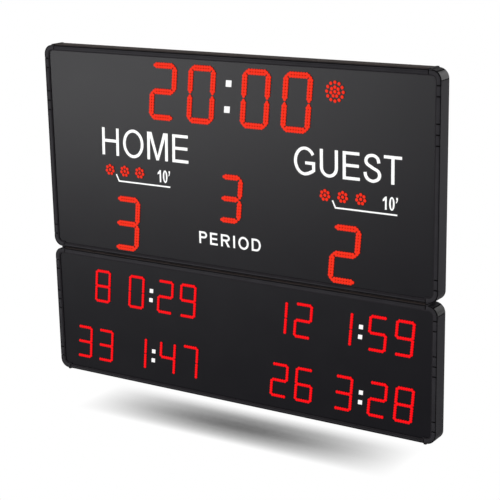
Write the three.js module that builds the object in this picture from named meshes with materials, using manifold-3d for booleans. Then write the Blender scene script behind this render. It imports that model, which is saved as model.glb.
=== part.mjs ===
// Electronic scoreboard for indoor sports: a main case over a penalty case, on two uprights
// that hook on a wall rail.
// Millimetres. X runs to the viewer's right, the display faces -Y, Z is up. The origin is on
// the wall, in the middle of the wall rail's rear face.
import * as THREE from 'three';
import { mergeVertices } from 'three/addons/utils/BufferGeometryUtils.js';
import Module from 'manifold-3d';

// Overall sizes
const BOARD_WIDTH = 1800;
const MAIN_HEIGHT = 855.5;
const PENALTY_HEIGHT = 540;
const CASE_GAP = 8.8; // between the rails of the two cases
const CASE_DEPTH = 66.3;
const TOP_ABOVE_ORIGIN = 120;
const CLEARANCE = 0.3; // running clearance between pieces that touch
const SEAM = 0.8; // gap between a corner piece and a rail

// Rails and corner pieces
const WALL = 3;
const FLANGE = 18; // face width of the top and side rails
const BOTTOM_FLANGE = 11;
const FLANGE_DEPTH = 4.7;
const LEDGE = 2;
const LEDGE_REACH = 15;
const REAR_LIP = 2.5;
const REAR_REACH = 16;
const CORNER_RADIUS = 39;
const CORNER_ARM = 50; // along the horizontal rail, with the rib at its end
const SIDE_ARM = 55.3; // along the side rail, from the top of a case
const LOW_SIDE_ARM = 52; // along the side rail, from the bottom of a case
const ARC_STEPS = 9;
const COVER_LENGTH = 39.4; // a screw cover let into a side rail
const COVER_GROOVE = 2.4;
const COVER_GROOVE_DEPTH = 3;
const SECOND_COVER_DROP = 192; // from the top of the case to the pair of covers

// Front panel, its seal and the rear cover
const PANEL_THICKNESS = 4;
const PANEL_INSET = 6;
const SEAL_WIDTH = 4;
const BOTTOM_SEAL_WIDTH = 5.5;
const SEAL_DEPTH = 3.2;
const SHEET = 1.5;
const REAR_COVER_INSET = 4;

// LED digits, measured between the centre lines of their outer bars
const DIGIT_SLANT = 0.0902; // sideways shift for each millimetre of height
const LARGE_DIGIT = { width: 105.2, height: 207.2, bar: 25.5 };
const PERIOD_DIGIT = { width: 87.9, height: 173.6, bar: 24 };
const PENALTY_DIGIT = { width: 68.7, height: 132.2, bar: 13.5 };
const BAR_END_GAP = 3; // from a bar's tip to the corner where two bars would meet
const BAR_DEPTH = 5;
const BOARD_THICKNESS = 1.6;
const DIGIT_BOARD_MARGIN = 4;
const BOARD_MARGIN = 8;

// Places on the main panel, from the case's nearest edge
const CLOCK = { x: 3.1, top: 40.4, colonGap: 18.4, digitGap: 22.7 };
const CLOCK_COLON = { pitch: 101.2, size: 25 };
const CLOCK_LAMP = { gap: 35.2, top: 64.5, radius: 40.5 };
const PERIOD = { x: 3.1, low: 198.8 };
const SCORE = { low: 21.6, inset: { home: 390.6, guest: 387.9 } };
const LAMPS = { radius: 23, pitch: 75.6, aboveScore: 81, inset: { home: 390.4, guest: 395 } };

// Places on the penalty panel. In a row, each group is placed from the row's centre.
const PENALTY_ROWS = { top: 69.6, low: 61.1, inset: { home: 411.1, guest: 408.9 } };
const PENALTY_GROUPS = { player: -218.5, minutes: 14.1, colon: 89, seconds: 218.2 };
const PENALTY_DIGIT_PITCH = 112.5;
const PENALTY_COLON = { pitch: 40.4, size: 17 };

// Cross bars behind the LED boards
const CROSS_BAR_HEIGHT = 40;
const CROSS_BAR_SPARE = 2.4; // room between a cross bar and the service tray

// Wall rail, uprights and buffers
const WALL_RAIL = { length: 1400, height: 90, sheet: 3, shelf: 15, reach: 15, lip: 18 };
const WALL_SCREW_X = [-500, -200, 200, 500];
const WALL_SCREW = { radius: 8, height: 3.5, z: -20 };
const UPRIGHT = { fromRailEnd: 80, width: 40, sheet: 2, drop: 60, rise: 54.3, wallGap: 4 };
const HOOK_ENTRY = 28; // free height below the hook, for lifting the board on and off
const HOOK_ROOM = 3.4; // between an upright's web and the wall rail's lip
const BUFFER = { sideGap: 3, rise: 50 };

// Electronics in the main case
const POWER_SUPPLY = { x: 520, low: 159.5, width: 215, height: 112, depth: 28 };
const TERMINALS = { width: 60, height: 16, depth: 14, inset: 8 };
const HORN = { x: 250, drop: 380, radius: 45, depth: 26, mouth: 30 };

// Service bay in the penalty case
const SERVICE = { x: 300, width: 240, height: 140, rim: 6.5, depth: 30 };
const TRAY_WALL = 1.5;
const CONTROL_BOARD = { leftMargin: 8, rightMargin: 52, endMargin: 15, lift: 4.5 };
const RADIO_MODULE = { x: 30, z: 22, width: 44, height: 30, depth: 5 };
const PROCESSOR = { x: -20, z: 20, width: 26, height: 26, depth: 3 };
const CONNECTORS = [
  { x: 14, z: -36, width: 34, height: 14, depth: 9 },
  { x: 62, z: -36, width: 34, height: 14, depth: 9 },
];
const POST = { radius: 4, inset: 8 };
const BUTTON = { radius: 4, length: 11, fromEdge: 34, pitch: 26, z: -30, travel: 1.5 };
const BUTTON_HOUSING = { size: 14, depth: 6 };
const SWITCH = { fromEdge: 22, width: 20, height: 30, depth: 14, wall: 2.7, pocket: 8 };
const ROCKER = { endGap: 1.9, crown: 5.5, waist: 4, side: 2.5, keel: 5, tilt: 9, sink: 1 };
const DOOR_LAP = 8;
const HINGE = { pin: 1.5, play: 0.4, wall: 1.5, knuckle: 30, leaf: 17, pinHead: 1.7 };
const LATCH = { inset: 10, shaft: 4, play: 0.6, head: 8, headHeight: 4, reach: 4.5, width: 8, slot: 1.6 };
const GROMMET = { x: -300, low: 70, neck: 9.7, lap: 4.3, rim: 1.8, sides: 16 };

// Cable between the cases
const LINK = { radius: 4, hole: 7, fromBack: 16.3, aboveTrayCentre: 40, bend: 50, steps: 40 };

// Derived places, in millimetres behind the front face
const HALF_WIDTH = BOARD_WIDTH / 2;
const PANEL_FRONT = FLANGE_DEPTH + CLEARANCE;
const PANEL_BACK = PANEL_FRONT + PANEL_THICKNESS;
const LEDGE_FRONT = PANEL_BACK + CLEARANCE;
const LIGHT_FRONT = PANEL_BACK + CLEARANCE;
const BOARD_FRONT = LIGHT_FRONT + BAR_DEPTH;
const LIGHT_ROOT = BOARD_FRONT + BOARD_THICKNESS / 2; // lights start inside their board
const BOARD_BACK = BOARD_FRONT + BOARD_THICKNESS;
const CROSS_BAR_FRONT = BOARD_BACK + CLEARANCE;
const CROSS_BAR_BACK = CASE_DEPTH - SERVICE.depth - CROSS_BAR_SPARE;
const COVER_FRONT = CASE_DEPTH + CLEARANCE;
const COVER_BACK = COVER_FRONT + SHEET;
const UPRIGHT_FRONT = COVER_BACK + CLEARANCE;
const WALL_FACE = UPRIGHT_FRONT + UPRIGHT.sheet + HOOK_ROOM + WALL_RAIL.reach;
const LINK_DEPTH = CASE_DEPTH - LINK.fromBack;

// Derived heights
const PENALTY_TOP = TOP_ABOVE_ORIGIN - MAIN_HEIGHT - CASE_GAP;
const BOARD_BOTTOM = PENALTY_TOP - PENALTY_HEIGHT;
const RIB_RISE = (CASE_GAP - CLEARANCE) / 2;
const CLOCK_Z = -CLOCK.top - digitHalfHeight(LARGE_DIGIT);
const SCORE_Z = -MAIN_HEIGHT + SCORE.low + digitHalfHeight(LARGE_DIGIT);
const LAMP_Z = SCORE_Z + digitHalfHeight(LARGE_DIGIT) + LAMPS.aboveScore + LAMPS.radius;
const PERIOD_Z = -MAIN_HEIGHT + PERIOD.low + digitHalfHeight(PERIOD_DIGIT);
const SERVICE_Z = -PENALTY_HEIGHT / 2;

const wasm = await Module();
wasm.setup();

const scoreboard = new THREE.Group();
const mainCase = new THREE.Group();
mainCase.position.set(0, -WALL_FACE, TOP_ABOVE_ORIGIN);
const penaltyCase = new THREE.Group();
penaltyCase.position.set(0, -WALL_FACE, PENALTY_TOP);
scoreboard.add(mainCase, penaltyCase);

// Materials
const blackPaint = { color: 0x303032, roughness: 0.42, metalness: 0.1 };
const castBlack = { color: 0x343436, roughness: 0.38, metalness: 0.2 };
const panelSheet = { color: 0x29292b, roughness: 0.34, metalness: 0 };
const rubber = { color: 0x141415, roughness: 0.8, metalness: 0 };
const zincSteel = { color: 0xa9adb0, roughness: 0.45, metalness: 0.8 };
const redLight = { color: 0xff2a1c, roughness: 0.4, metalness: 0 };
const whiteLight = { color: 0xf4f6f5, roughness: 0.4, metalness: 0 };
const greenBoard = { color: 0x1f5a3a, roughness: 0.5, metalness: 0 };
const blackPlastic = { color: 0x1b1b1d, roughness: 0.5, metalness: 0 };
const redPlastic = { color: 0xb3201c, roughness: 0.35, metalness: 0 };

// Adds one named piece to its group.
function addPiece(group, name, geometry, material) {
  const mesh = new THREE.Mesh(geometry, new THREE.MeshStandardMaterial(material));
  mesh.name = name;
  group.add(mesh);
  return mesh;
}

// Turns a closed geometry into a solid that can be joined and cut.
function solid(geometry) {
  const bare = geometry.clone();
  bare.deleteAttribute('normal');
  bare.deleteAttribute('uv');
  const merged = mergeVertices(bare, 1e-4);
  return new wasm.Manifold(new wasm.Mesh({
    numProp: 3,
    vertProperties: new Float32Array(merged.attributes.position.array),
    triVerts: new Uint32Array(merged.index.array),
  }));
}

// Turns a solid back into a geometry.
function geometryOf(body) {
  const mesh = body.getMesh();
  const geometry = new THREE.BufferGeometry();
  const places = new Float32Array(mesh.vertProperties);
  geometry.setAttribute('position', new THREE.BufferAttribute(places, 3));
  geometry.setIndex(new THREE.BufferAttribute(new Uint32Array(mesh.triVerts), 1));
  geometry.computeVertexNormals();
  return geometry;
}

// Joins geometries, then cuts others out of them.
function shape(parts, cuts = []) {
  let body = solid(parts[0]);
  for (const part of parts.slice(1)) {
    body = body.add(solid(part));
  }
  for (const cut of cuts) {
    body = body.subtract(solid(cut));
  }
  return geometryOf(body);
}

// Axes of an extrusion: the outline's first and second axis, and the direction of the extrusion.
const AXES = {
  x: [new THREE.Vector3(0, 1, 0), new THREE.Vector3(0, 0, 1), new THREE.Vector3(1, 0, 0)],
  y: [new THREE.Vector3(1, 0, 0), new THREE.Vector3(0, 0, 1), new THREE.Vector3(0, -1, 0)],
  z: [new THREE.Vector3(1, 0, 0), new THREE.Vector3(0, 1, 0), new THREE.Vector3(0, 0, 1)],
};

function toPath(points, PathClass) {
  return new PathClass(points.map(([a, b]) => new THREE.Vector2(a, b)));
}

// Extrudes an outline between two places on an axis. Its points are (y, z) for x, (x, z) for y
// and (x, y) for z.
function prism(outline, axis, from, to, holes = []) {
  const face = toPath(outline, THREE.Shape);
  face.holes = holes.map((hole) => toPath(hole, THREE.Path));
  const geometry = new THREE.ExtrudeGeometry(face, { depth: to - from, bevelEnabled: false });
  const [first, second, along] = AXES[axis];
  geometry.applyMatrix4(new THREE.Matrix4().makeBasis(first, second, along));
  const start = axis === 'y' ? -to : from;
  return geometry.translate(along.x * start, along.y * start, along.z * start);
}

// A block between two corners.
function block(x0, x1, y0, y1, z0, z1) {
  const geometry = new THREE.BoxGeometry(x1 - x0, y1 - y0, z1 - z0);
  return geometry.translate((x0 + x1) / 2, (y0 + y1) / 2, (z0 + z1) / 2);
}

// A round bar along Y.
function barAlongY(x, z, radius, y0, y1, sides = 16) {
  const geometry = new THREE.CylinderGeometry(radius, radius, y1 - y0, sides);
  return geometry.translate(x, (y0 + y1) / 2, z);
}

// A round bar along Z.
function barAlongZ(x, y, radius, z0, z1, sides = 12) {
  const geometry = new THREE.CylinderGeometry(radius, radius, z1 - z0, sides);
  return geometry.rotateX(Math.PI / 2).translate(x, y, (z0 + z1) / 2);
}

function arc(cx, cy, radius, fromDegrees, toDegrees, steps = ARC_STEPS) {
  const points = [];
  for (let i = 0; i <= steps; i += 1) {
    const angle = THREE.MathUtils.degToRad(fromDegrees + ((toDegrees - fromDegrees) * i) / steps);
    points.push([cx + radius * Math.cos(angle), cy + radius * Math.sin(angle)]);
  }
  return points;
}

// A rectangle set in from the four faces of a case, with the corners rounded about the same
// centres as the case's own.
function roundedOutline(height, inset, radius) {
  const x = HALF_WIDTH - inset - radius;
  const high = -inset - radius;
  const low = -height + inset + radius;
  return [
    ...arc(x, high, radius, 0, 90),
    ...arc(-x, high, radius, 90, 180),
    ...arc(-x, low, radius, 180, 270),
    ...arc(x, low, radius, 270, 360),
  ];
}

// Section of a rail: (distance behind the front face, distance in from the outer face).
function railSection(flange) {
  return [
    [0, 0],
    [0, flange],
    [FLANGE_DEPTH, flange],
    [FLANGE_DEPTH, WALL],
    [LEDGE_FRONT, WALL],
    [LEDGE_FRONT, LEDGE_REACH],
    [LEDGE_FRONT + LEDGE, LEDGE_REACH],
    [LEDGE_FRONT + LEDGE, WALL],
    [CASE_DEPTH - REAR_LIP, WALL],
    [CASE_DEPTH - REAR_LIP, REAR_REACH],
    [CASE_DEPTH, REAR_REACH],
    [CASE_DEPTH, 0],
  ];
}

// Section of a side rail's ends, where its wall runs on behind the corner piece's arm.
function railEndSection() {
  return [
    [PANEL_FRONT, 0],
    [PANEL_FRONT, WALL],
    [CASE_DEPTH - REAR_LIP, WALL],
    [CASE_DEPTH - REAR_LIP, REAR_REACH],
    [CASE_DEPTH, REAR_REACH],
    [CASE_DEPTH, 0],
  ];
}

// The hole through which the link cable passes from case to case.
function linkHole(z0, z1) {
  return barAlongZ(POWER_SUPPLY.x, LINK_DEPTH, LINK.hole, z0, z1);
}

function addHorizontalRails(group, name, height) {
  const reach = HALF_WIDTH - CORNER_ARM - SEAM;
  const topSection = railSection(FLANGE).map(([depth, inward]) => [depth, -inward]);
  const bottomSection = railSection(BOTTOM_FLANGE).map(([depth, inward]) => [depth, inward - height]);
  const isMain = name === 'main';
  const topCuts = isMain ? [] : [linkHole(-WALL - 1, 1)];
  const bottomCuts = isMain ? [linkHole(-height - 1, -height + WALL + 1)] : [];
  const top = shape([prism(topSection, 'x', -reach, reach)], topCuts);
  const bottom = shape([prism(bottomSection, 'x', -reach, reach)], bottomCuts);
  addPiece(group, `${name}_top_rail`, top, blackPaint);
  addPiece(group, `${name}_bottom_rail`, bottom, blackPaint);
}

// Where the grooves of a side rail's screw covers lie, below the top of the case.
function coverGrooves(height) {
  const pair = SECOND_COVER_DROP;
  const first = SIDE_ARM + COVER_LENGTH;
  const last = height - LOW_SIDE_ARM - COVER_LENGTH;
  return [first, pair, pair + COVER_LENGTH, pair + 2 * COVER_LENGTH, last];
}

function addSideRail(group, name, side, height) {
  const toPlan = ([depth, inward]) => [side * (HALF_WIDTH - inward), depth];
  const section = railSection(FLANGE).map(toPlan);
  const face = prism(section, 'z', -height + LOW_SIDE_ARM + SEAM, -SIDE_ARM - SEAM);
  const wallEnd = CORNER_RADIUS + SEAM;
  const ends = prism(railEndSection().map(toPlan), 'z', -height + wallEnd, -wallEnd);
  const inner = side * (HALF_WIDTH - FLANGE - 1);
  const outer = side * (HALF_WIDTH + 1);
  const grooves = coverGrooves(height).map((drop) => block(
    Math.min(inner, outer),
    Math.max(inner, outer),
    -1,
    COVER_GROOVE_DEPTH,
    -drop - COVER_GROOVE / 2,
    -drop + COVER_GROOVE / 2,
  ));
  const label = `${name}_${side < 0 ? 'left' : 'right'}_rail`;
  addPiece(group, label, shape([face, ends], grooves), blackPaint);
}

// Outline of a corner piece: (distance in from the side face, distance in from the top or
// bottom face). The side arm is left out where it would end inside the arc.
function cornerOutline(width, armEnd) {
  const centre = CORNER_RADIUS;
  const hasArm = armEnd > centre;
  return [
    ...(hasArm ? [[0, armEnd]] : []),
    ...arc(centre, centre, centre, 180, 270),
    [centre, -RIB_RISE],
    [CORNER_ARM, -RIB_RISE],
    [CORNER_ARM, width],
    ...arc(centre, centre, centre - width, 270, 180),
    ...(hasArm ? [[width, armEnd]] : []),
  ];
}

function addCorner(group, name, side, isTop, height) {
  const place = ([inSide, inEnd]) => [side * (HALF_WIDTH - inSide), isTop ? -inEnd : inEnd - height];
  const arm = isTop ? SIDE_ARM : LOW_SIDE_ARM;
  const face = prism(cornerOutline(FLANGE, arm).map(place), 'y', 0, FLANGE_DEPTH);
  const wall = prism(cornerOutline(WALL, CORNER_RADIUS).map(place), 'y', 0, CASE_DEPTH);
  const lipOutline = cornerOutline(REAR_REACH, CORNER_RADIUS).map(place);
  const lip = prism(lipOutline, 'y', CASE_DEPTH - REAR_LIP, CASE_DEPTH);
  const label = `${name}_${isTop ? 'top' : 'bottom'}_${side < 0 ? 'left' : 'right'}_corner`;
  addPiece(group, label, shape([face, wall, lip]), castBlack);
}

function addPanel(group, name, height) {
  const outline = roundedOutline(height, PANEL_INSET, CORNER_RADIUS - PANEL_INSET);
  addPiece(group, `${name}_front_panel`, prism(outline, 'y', PANEL_FRONT, PANEL_BACK), panelSheet);
}

// The seal fills the step between the rails' faces and the panel. Along the bottom rail it is
// wider, because that rail's face is narrower.
function addSeal(group, name, height) {
  const inset = FLANGE + CLEARANCE;
  const openInset = inset + SEAL_WIDTH;
  const front = FLANGE_DEPTH - SEAL_DEPTH;
  const back = FLANGE_DEPTH;
  const ring = prism(roundedOutline(height, inset, CORNER_RADIUS - inset), 'y', front, back);
  const opening = roundedOutline(height, openInset, CORNER_RADIUS - openInset);
  const stripX = HALF_WIDTH - CORNER_ARM - SEAM - CLEARANCE;
  const low = -height + BOTTOM_FLANGE + CLEARANCE;
  const strip = block(-stripX, stripX, front, back, low, -height + openInset);
  const openX = stripX - SEAL_WIDTH;
  const openLow = low + BOTTOM_SEAL_WIDTH;
  const stripOpening = block(-openX, openX, front - 1, back + 1, openLow, -height / 2);
  const cuts = [prism(opening, 'y', front - 1, back + 1), stripOpening];
  addPiece(group, `${name}_panel_seal`, shape([ring, strip], cuts), rubber);
}

function rearCoverSheet(height, holes = []) {
  const outline = roundedOutline(height, REAR_COVER_INSET, CORNER_RADIUS - REAR_COVER_INSET);
  return prism(outline, 'y', COVER_FRONT, COVER_BACK, holes);
}

function addCase(group, name, height) {
  addHorizontalRails(group, name, height);
  for (const side of [-1, 1]) {
    addSideRail(group, name, side, height);
    addCorner(group, name, side, true, height);
    addCorner(group, name, side, false, height);
  }
  addPanel(group, name, height);
  addSeal(group, name, height);
}

// One light bar of a digit: a long hexagon about a centre, level or upright.
function barOutline(centreX, centreZ, length, width, upright) {
  const half = length / 2;
  const side = width / 2;
  const end = half - side;
  const corners = [[-half, 0], [-end, side], [end, side], [half, 0], [end, -side], [-end, -side]];
  return corners.map(([along, across]) => {
    const x = centreX + (upright ? across : along);
    const z = centreZ + (upright ? along : across);
    return [x, z];
  });
}

// The seven bars of a digit as outlines about the digit's centre.
function digitBars({ width, height, bar }) {
  const long = width - 2 * BAR_END_GAP;
  const tall = height / 2 - 2 * BAR_END_GAP;
  const bars = [height / 2, 0, -height / 2].map((z) => barOutline(0, z, long, bar, false));
  for (const x of [-width / 2, width / 2]) {
    for (const z of [-height / 4, height / 4]) {
      bars.push(barOutline(x, z, tall, bar, true));
    }
  }
  return bars;
}

// Moves an outline sideways and slants it about its board's middle.
function slanted(outline, x = 0) {
  return outline.map(([a, b]) => [x + a + b * DIGIT_SLANT, b]);
}

function lightSolids(outlines) {
  return outlines.map((outline) => prism(outline, 'y', LIGHT_FRONT, LIGHT_ROOT));
}

// A circuit board, given by its half sizes.
function circuitBoard(halfWidth, halfHeight) {
  return block(-halfWidth, halfWidth, BOARD_FRONT, BOARD_BACK, -halfHeight, halfHeight);
}

function digitHalfWidth({ width, height, bar }) {
  return (width + bar + (height + bar) * DIGIT_SLANT) / 2;
}

function digitHalfHeight({ height, bar }) {
  return (height + bar) / 2;
}

function addDigitBoard(group, name, digit, x, z) {
  const bars = digitBars(digit).map((outline) => slanted(outline));
  const halfHeight = digitHalfHeight(digit) + DIGIT_BOARD_MARGIN;
  const board = circuitBoard(digitHalfWidth(digit) + DIGIT_BOARD_MARGIN, halfHeight);
  const mesh = addPiece(group, name, shape([board, ...lightSolids(bars)]), redLight);
  mesh.position.set(x, 0, z);
}

// Two square lights, one above the other, about their common centre.
function colonSquares({ pitch, size }) {
  const half = size / 2;
  const square = [[-half, -half], [half, -half], [half, half], [-half, half]];
  return [-pitch / 2, pitch / 2].map((z) => square.map(([a, b]) => [a, b + z]));
}

function addColonBoard(group, name, colon, x, z) {
  const squares = colonSquares(colon).map((outline) => slanted(outline));
  const halfHeight = (colon.pitch + colon.size) / 2 + BOARD_MARGIN;
  const board = circuitBoard(colonHalfWidth(colon), halfHeight);
  const mesh = addPiece(group, name, shape([board, ...lightSolids(squares)]), whiteLight);
  mesh.position.set(x, 0, z);
}

function colonHalfWidth(colon) {
  return (colon.size + (colon.pitch + colon.size) * DIGIT_SLANT) / 2 + BOARD_MARGIN;
}

// Round lights side by side on one board.
function addLampBoard(group, name, radius, pitch, count, x, z) {
  const first = (-pitch * (count - 1)) / 2;
  const lamps = [];
  for (let i = 0; i < count; i += 1) {
    lamps.push(barAlongY(first + i * pitch, 0, radius, LIGHT_FRONT, LIGHT_ROOT));
  }
  const board = circuitBoard(radius + BOARD_MARGIN - first, radius + BOARD_MARGIN);
  const mesh = addPiece(group, name, shape([board, ...lamps]), redLight);
  mesh.position.set(x, 0, z);
}

// A penalty row: two digits for the player's number, then minutes, colon and seconds.
function addPenaltyRow(group, name, x, z) {
  const { player, minutes, colon, seconds } = PENALTY_GROUPS;
  const half = PENALTY_DIGIT_PITCH / 2;
  const places = [player - half, player + half, minutes, seconds - half, seconds + half];
  const outlines = places.flatMap((place) => (
    digitBars(PENALTY_DIGIT).map((outline) => slanted(outline, place))
  ));
  outlines.push(...colonSquares(PENALTY_COLON).map((outline) => slanted(outline, colon)));
  const halfWidth = seconds + half + digitHalfWidth(PENALTY_DIGIT) + BOARD_MARGIN;
  const board = circuitBoard(halfWidth, digitHalfHeight(PENALTY_DIGIT) + BOARD_MARGIN);
  const mesh = addPiece(group, name, shape([board, ...lightSolids(outlines)]), redLight);
  mesh.position.set(x, 0, z);
}

// A channel across the case that carries LED boards, open to the rear.
function addCrossBar(group, name, z) {
  const front = CROSS_BAR_FRONT;
  const back = CROSS_BAR_BACK;
  const half = CROSS_BAR_HEIGHT / 2;
  const section = [
    [front, z - half],
    [back, z - half],
    [back, z - half + SHEET],
    [front + SHEET, z - half + SHEET],
    [front + SHEET, z + half - SHEET],
    [back, z + half - SHEET],
    [back, z + half],
    [front, z + half],
  ];
  const reach = HALF_WIDTH - WALL - CLEARANCE;
  addPiece(group, name, prism(section, 'x', -reach, reach), zincSteel);
}

// A place that is set in from the left face for the home team, and from the right face for
// the guest team.
function teamX(team, inset) {
  const side = team === 'home' ? -1 : 1;
  return side * (HALF_WIDTH - inset[team]);
}

// Four clock digits about the colon, and the dot cluster to their right.
function addClock() {
  const board = digitHalfWidth(LARGE_DIGIT) + DIGIT_BOARD_MARGIN;
  const near = colonHalfWidth(CLOCK_COLON) + CLOCK.colonGap + board;
  const far = near + 2 * board + CLOCK.digitGap;
  [-far, -near, near, far].forEach((offset, i) => {
    addDigitBoard(mainCase, `clock_digit_${i + 1}`, LARGE_DIGIT, CLOCK.x + offset, CLOCK_Z);
  });
  addColonBoard(mainCase, 'clock_colon', CLOCK_COLON, CLOCK.x, CLOCK_Z);
  const { radius, gap, top } = CLOCK_LAMP;
  const lampX = CLOCK.x + far + board + gap + BOARD_MARGIN + radius;
  addLampBoard(mainCase, 'clock_lamp', radius, 0, 1, lampX, -top - radius);
}

function addMainCase() {
  addCase(mainCase, 'main', MAIN_HEIGHT);
  addPiece(mainCase, 'main_rear_cover', rearCoverSheet(MAIN_HEIGHT), blackPaint);
  addClock();
  addDigitBoard(mainCase, 'period_digit', PERIOD_DIGIT, PERIOD.x, PERIOD_Z);
  for (const team of ['home', 'guest']) {
    const scoreX = teamX(team, SCORE.inset);
    addDigitBoard(mainCase, `${team}_score_digit`, LARGE_DIGIT, scoreX, SCORE_Z);
    const lampsX = teamX(team, LAMPS.inset);
    addLampBoard(mainCase, `${team}_lamps`, LAMPS.radius, LAMPS.pitch, 3, lampsX, LAMP_Z);
  }
  addCrossBar(mainCase, 'main_cross_bar_upper', CLOCK_Z);
  addCrossBar(mainCase, 'main_cross_bar_middle', LAMP_Z - LAMPS.radius);
  addCrossBar(mainCase, 'main_cross_bar_lower', SCORE_Z);
  addPowerSupply();
  addHorn();
}

// Boxed supply on the rear cover, with its terminal strip below.
const POWER_SUPPLY_LOW = -MAIN_HEIGHT + POWER_SUPPLY.low;
function addPowerSupply() {
  const { x, width, height, depth } = POWER_SUPPLY;
  const low = POWER_SUPPLY_LOW;
  const left = x - width / 2;
  const box = block(left, left + width, CASE_DEPTH - depth, CASE_DEPTH, low, low + height);
  const terminals = block(
    left + TERMINALS.inset,
    left + TERMINALS.inset + TERMINALS.width,
    CASE_DEPTH - TERMINALS.depth,
    CASE_DEPTH,
    low - TERMINALS.height,
    low + 1,
  );
  addPiece(mainCase, 'power_supply', shape([box, terminals]), zincSteel);
}

// Horn with a hollow mouth that faces the front.
function addHorn() {
  const { x, drop, radius, depth, mouth } = HORN;
  const body = barAlongY(x, -drop, radius, CASE_DEPTH - depth, CASE_DEPTH, 20);
  const hollow = barAlongY(x, -drop, mouth, CASE_DEPTH - depth - 1, CASE_DEPTH - depth / 2, 20);
  addPiece(mainCase, 'horn', shape([body], [hollow]), blackPlastic);
}

function addPenaltyCase() {
  addCase(penaltyCase, 'penalty', PENALTY_HEIGHT);
  const halfRow = digitHalfHeight(PENALTY_DIGIT);
  const rows = [-PENALTY_ROWS.top - halfRow, -PENALTY_HEIGHT + PENALTY_ROWS.low + halfRow];
  for (const team of ['home', 'guest']) {
    rows.forEach((z, i) => {
      addPenaltyRow(penaltyCase, `${team}_penalty_row_${i + 1}`, teamX(team, PENALTY_ROWS.inset), z);
    });
  }
  addCrossBar(penaltyCase, 'penalty_cross_bar_upper', rows[0]);
  addCrossBar(penaltyCase, 'penalty_cross_bar_lower', rows[1]);
  addPenaltyRearCover();
  addServiceTray();
  addControlBoard();
  addSetupButtons();
  addMainsSwitch();
  addHatch();
  addLatch();
  addGrommet();
  addLinkCable();
}

// Places shared by the hatch, its hinge and the cover that carries them
const WINDOW = {
  left: SERVICE.x - SERVICE.width / 2,
  right: SERVICE.x + SERVICE.width / 2,
  low: SERVICE_Z - SERVICE.height / 2,
  high: SERVICE_Z + SERVICE.height / 2,
};
const DOOR = {
  left: WINDOW.left - DOOR_LAP,
  right: WINDOW.right + DOOR_LAP,
  low: WINDOW.low - DOOR_LAP,
  high: WINDOW.high + DOOR_LAP,
  front: COVER_BACK + CLEARANCE,
  back: COVER_BACK + CLEARANCE + SHEET,
};
const HINGE_BORE = HINGE.pin + HINGE.play;
const HINGE_RADIUS = HINGE_BORE + HINGE.wall;
const HINGE_X = DOOR.left - HINGE_RADIUS - CLEARANCE;
const HINGE_Y = COVER_BACK + HINGE_RADIUS + CLEARANCE;
const GROMMET_Z = -PENALTY_HEIGHT + GROMMET.low;

// The penalty case's cover has the service window, the fixed hinge knuckle and the hole for
// the grommet.
function addPenaltyRearCover() {
  const { left, right, low, high } = WINDOW;
  const window = [[left, low], [right, low], [right, high], [left, high]];
  const holeStep = 360 / GROMMET.sides;
  const holeRadius = GROMMET.neck + CLEARANCE;
  const hole = arc(GROMMET.x, GROMMET_Z, holeRadius, 0, 360 - holeStep, GROMMET.sides - 1);
  const sheet = rearCoverSheet(PENALTY_HEIGHT, [window, hole]);
  const start = DOOR.low + HINGE.knuckle + CLEARANCE;
  const end = DOOR.high - HINGE.knuckle - CLEARANCE;
  const leafFront = COVER_BACK - SHEET / 2;
  const leaf = block(HINGE_X - HINGE.leaf, HINGE_X, leafFront, COVER_BACK + SHEET, start, end);
  const knuckle = barAlongZ(HINGE_X, HINGE_Y, HINGE_RADIUS, start, end);
  const bore = barAlongZ(HINGE_X, HINGE_Y, HINGE_BORE, start - 1, end + 1);
  addPiece(penaltyCase, 'penalty_rear_cover', shape([sheet, leaf, knuckle], [bore]), blackPaint);
}

// Depths in the service bay
const TRAY_FRONT = CASE_DEPTH - SERVICE.depth;
const TRAY_FLOOR = TRAY_FRONT + TRAY_WALL;
const CONTROL_FRONT = TRAY_FLOOR + CONTROL_BOARD.lift;
const CONTROL_BACK = CONTROL_FRONT + BOARD_THICKNESS;
const HOUSING_BACK = CONTROL_BACK + BUTTON_HOUSING.depth;

// Edges and centre of the control board
const CONTROL = {
  left: WINDOW.left + CONTROL_BOARD.leftMargin,
  right: WINDOW.right - CONTROL_BOARD.rightMargin,
  low: WINDOW.low + CONTROL_BOARD.endMargin,
  high: WINDOW.high - CONTROL_BOARD.endMargin,
};
const CONTROL_X = (CONTROL.left + CONTROL.right) / 2;
const BUTTON_X = [0, 1].map((i) => CONTROL.left + BUTTON.fromEdge + i * BUTTON.pitch);
const BUTTON_Z = SERVICE_Z + BUTTON.z;

// Open tray behind the window, with posts for the control board.
function addServiceTray() {
  const halfX = SERVICE.width / 2 + SERVICE.rim + TRAY_WALL;
  const halfZ = SERVICE.height / 2 + SERVICE.rim + TRAY_WALL;
  const { x } = SERVICE;
  const z = SERVICE_Z;
  const outside = block(x - halfX, x + halfX, TRAY_FRONT, CASE_DEPTH, z - halfZ, z + halfZ);
  const inside = block(
    x - halfX + TRAY_WALL,
    x + halfX - TRAY_WALL,
    TRAY_FLOOR,
    CASE_DEPTH + 1,
    z - halfZ + TRAY_WALL,
    z + halfZ - TRAY_WALL,
  );
  let tray = solid(outside).subtract(solid(inside));
  const postRoot = TRAY_FLOOR - TRAY_WALL / 2;
  const postEnd = CONTROL_FRONT - CLEARANCE;
  for (const postX of [CONTROL.left + POST.inset, CONTROL.right - POST.inset]) {
    for (const postZ of [CONTROL.low + POST.inset, CONTROL.high - POST.inset]) {
      tray = tray.add(solid(barAlongY(postX, postZ, POST.radius, postRoot, postEnd, 10)));
    }
  }
  addPiece(penaltyCase, 'service_tray', geometryOf(tray), zincSteel);
}

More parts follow.
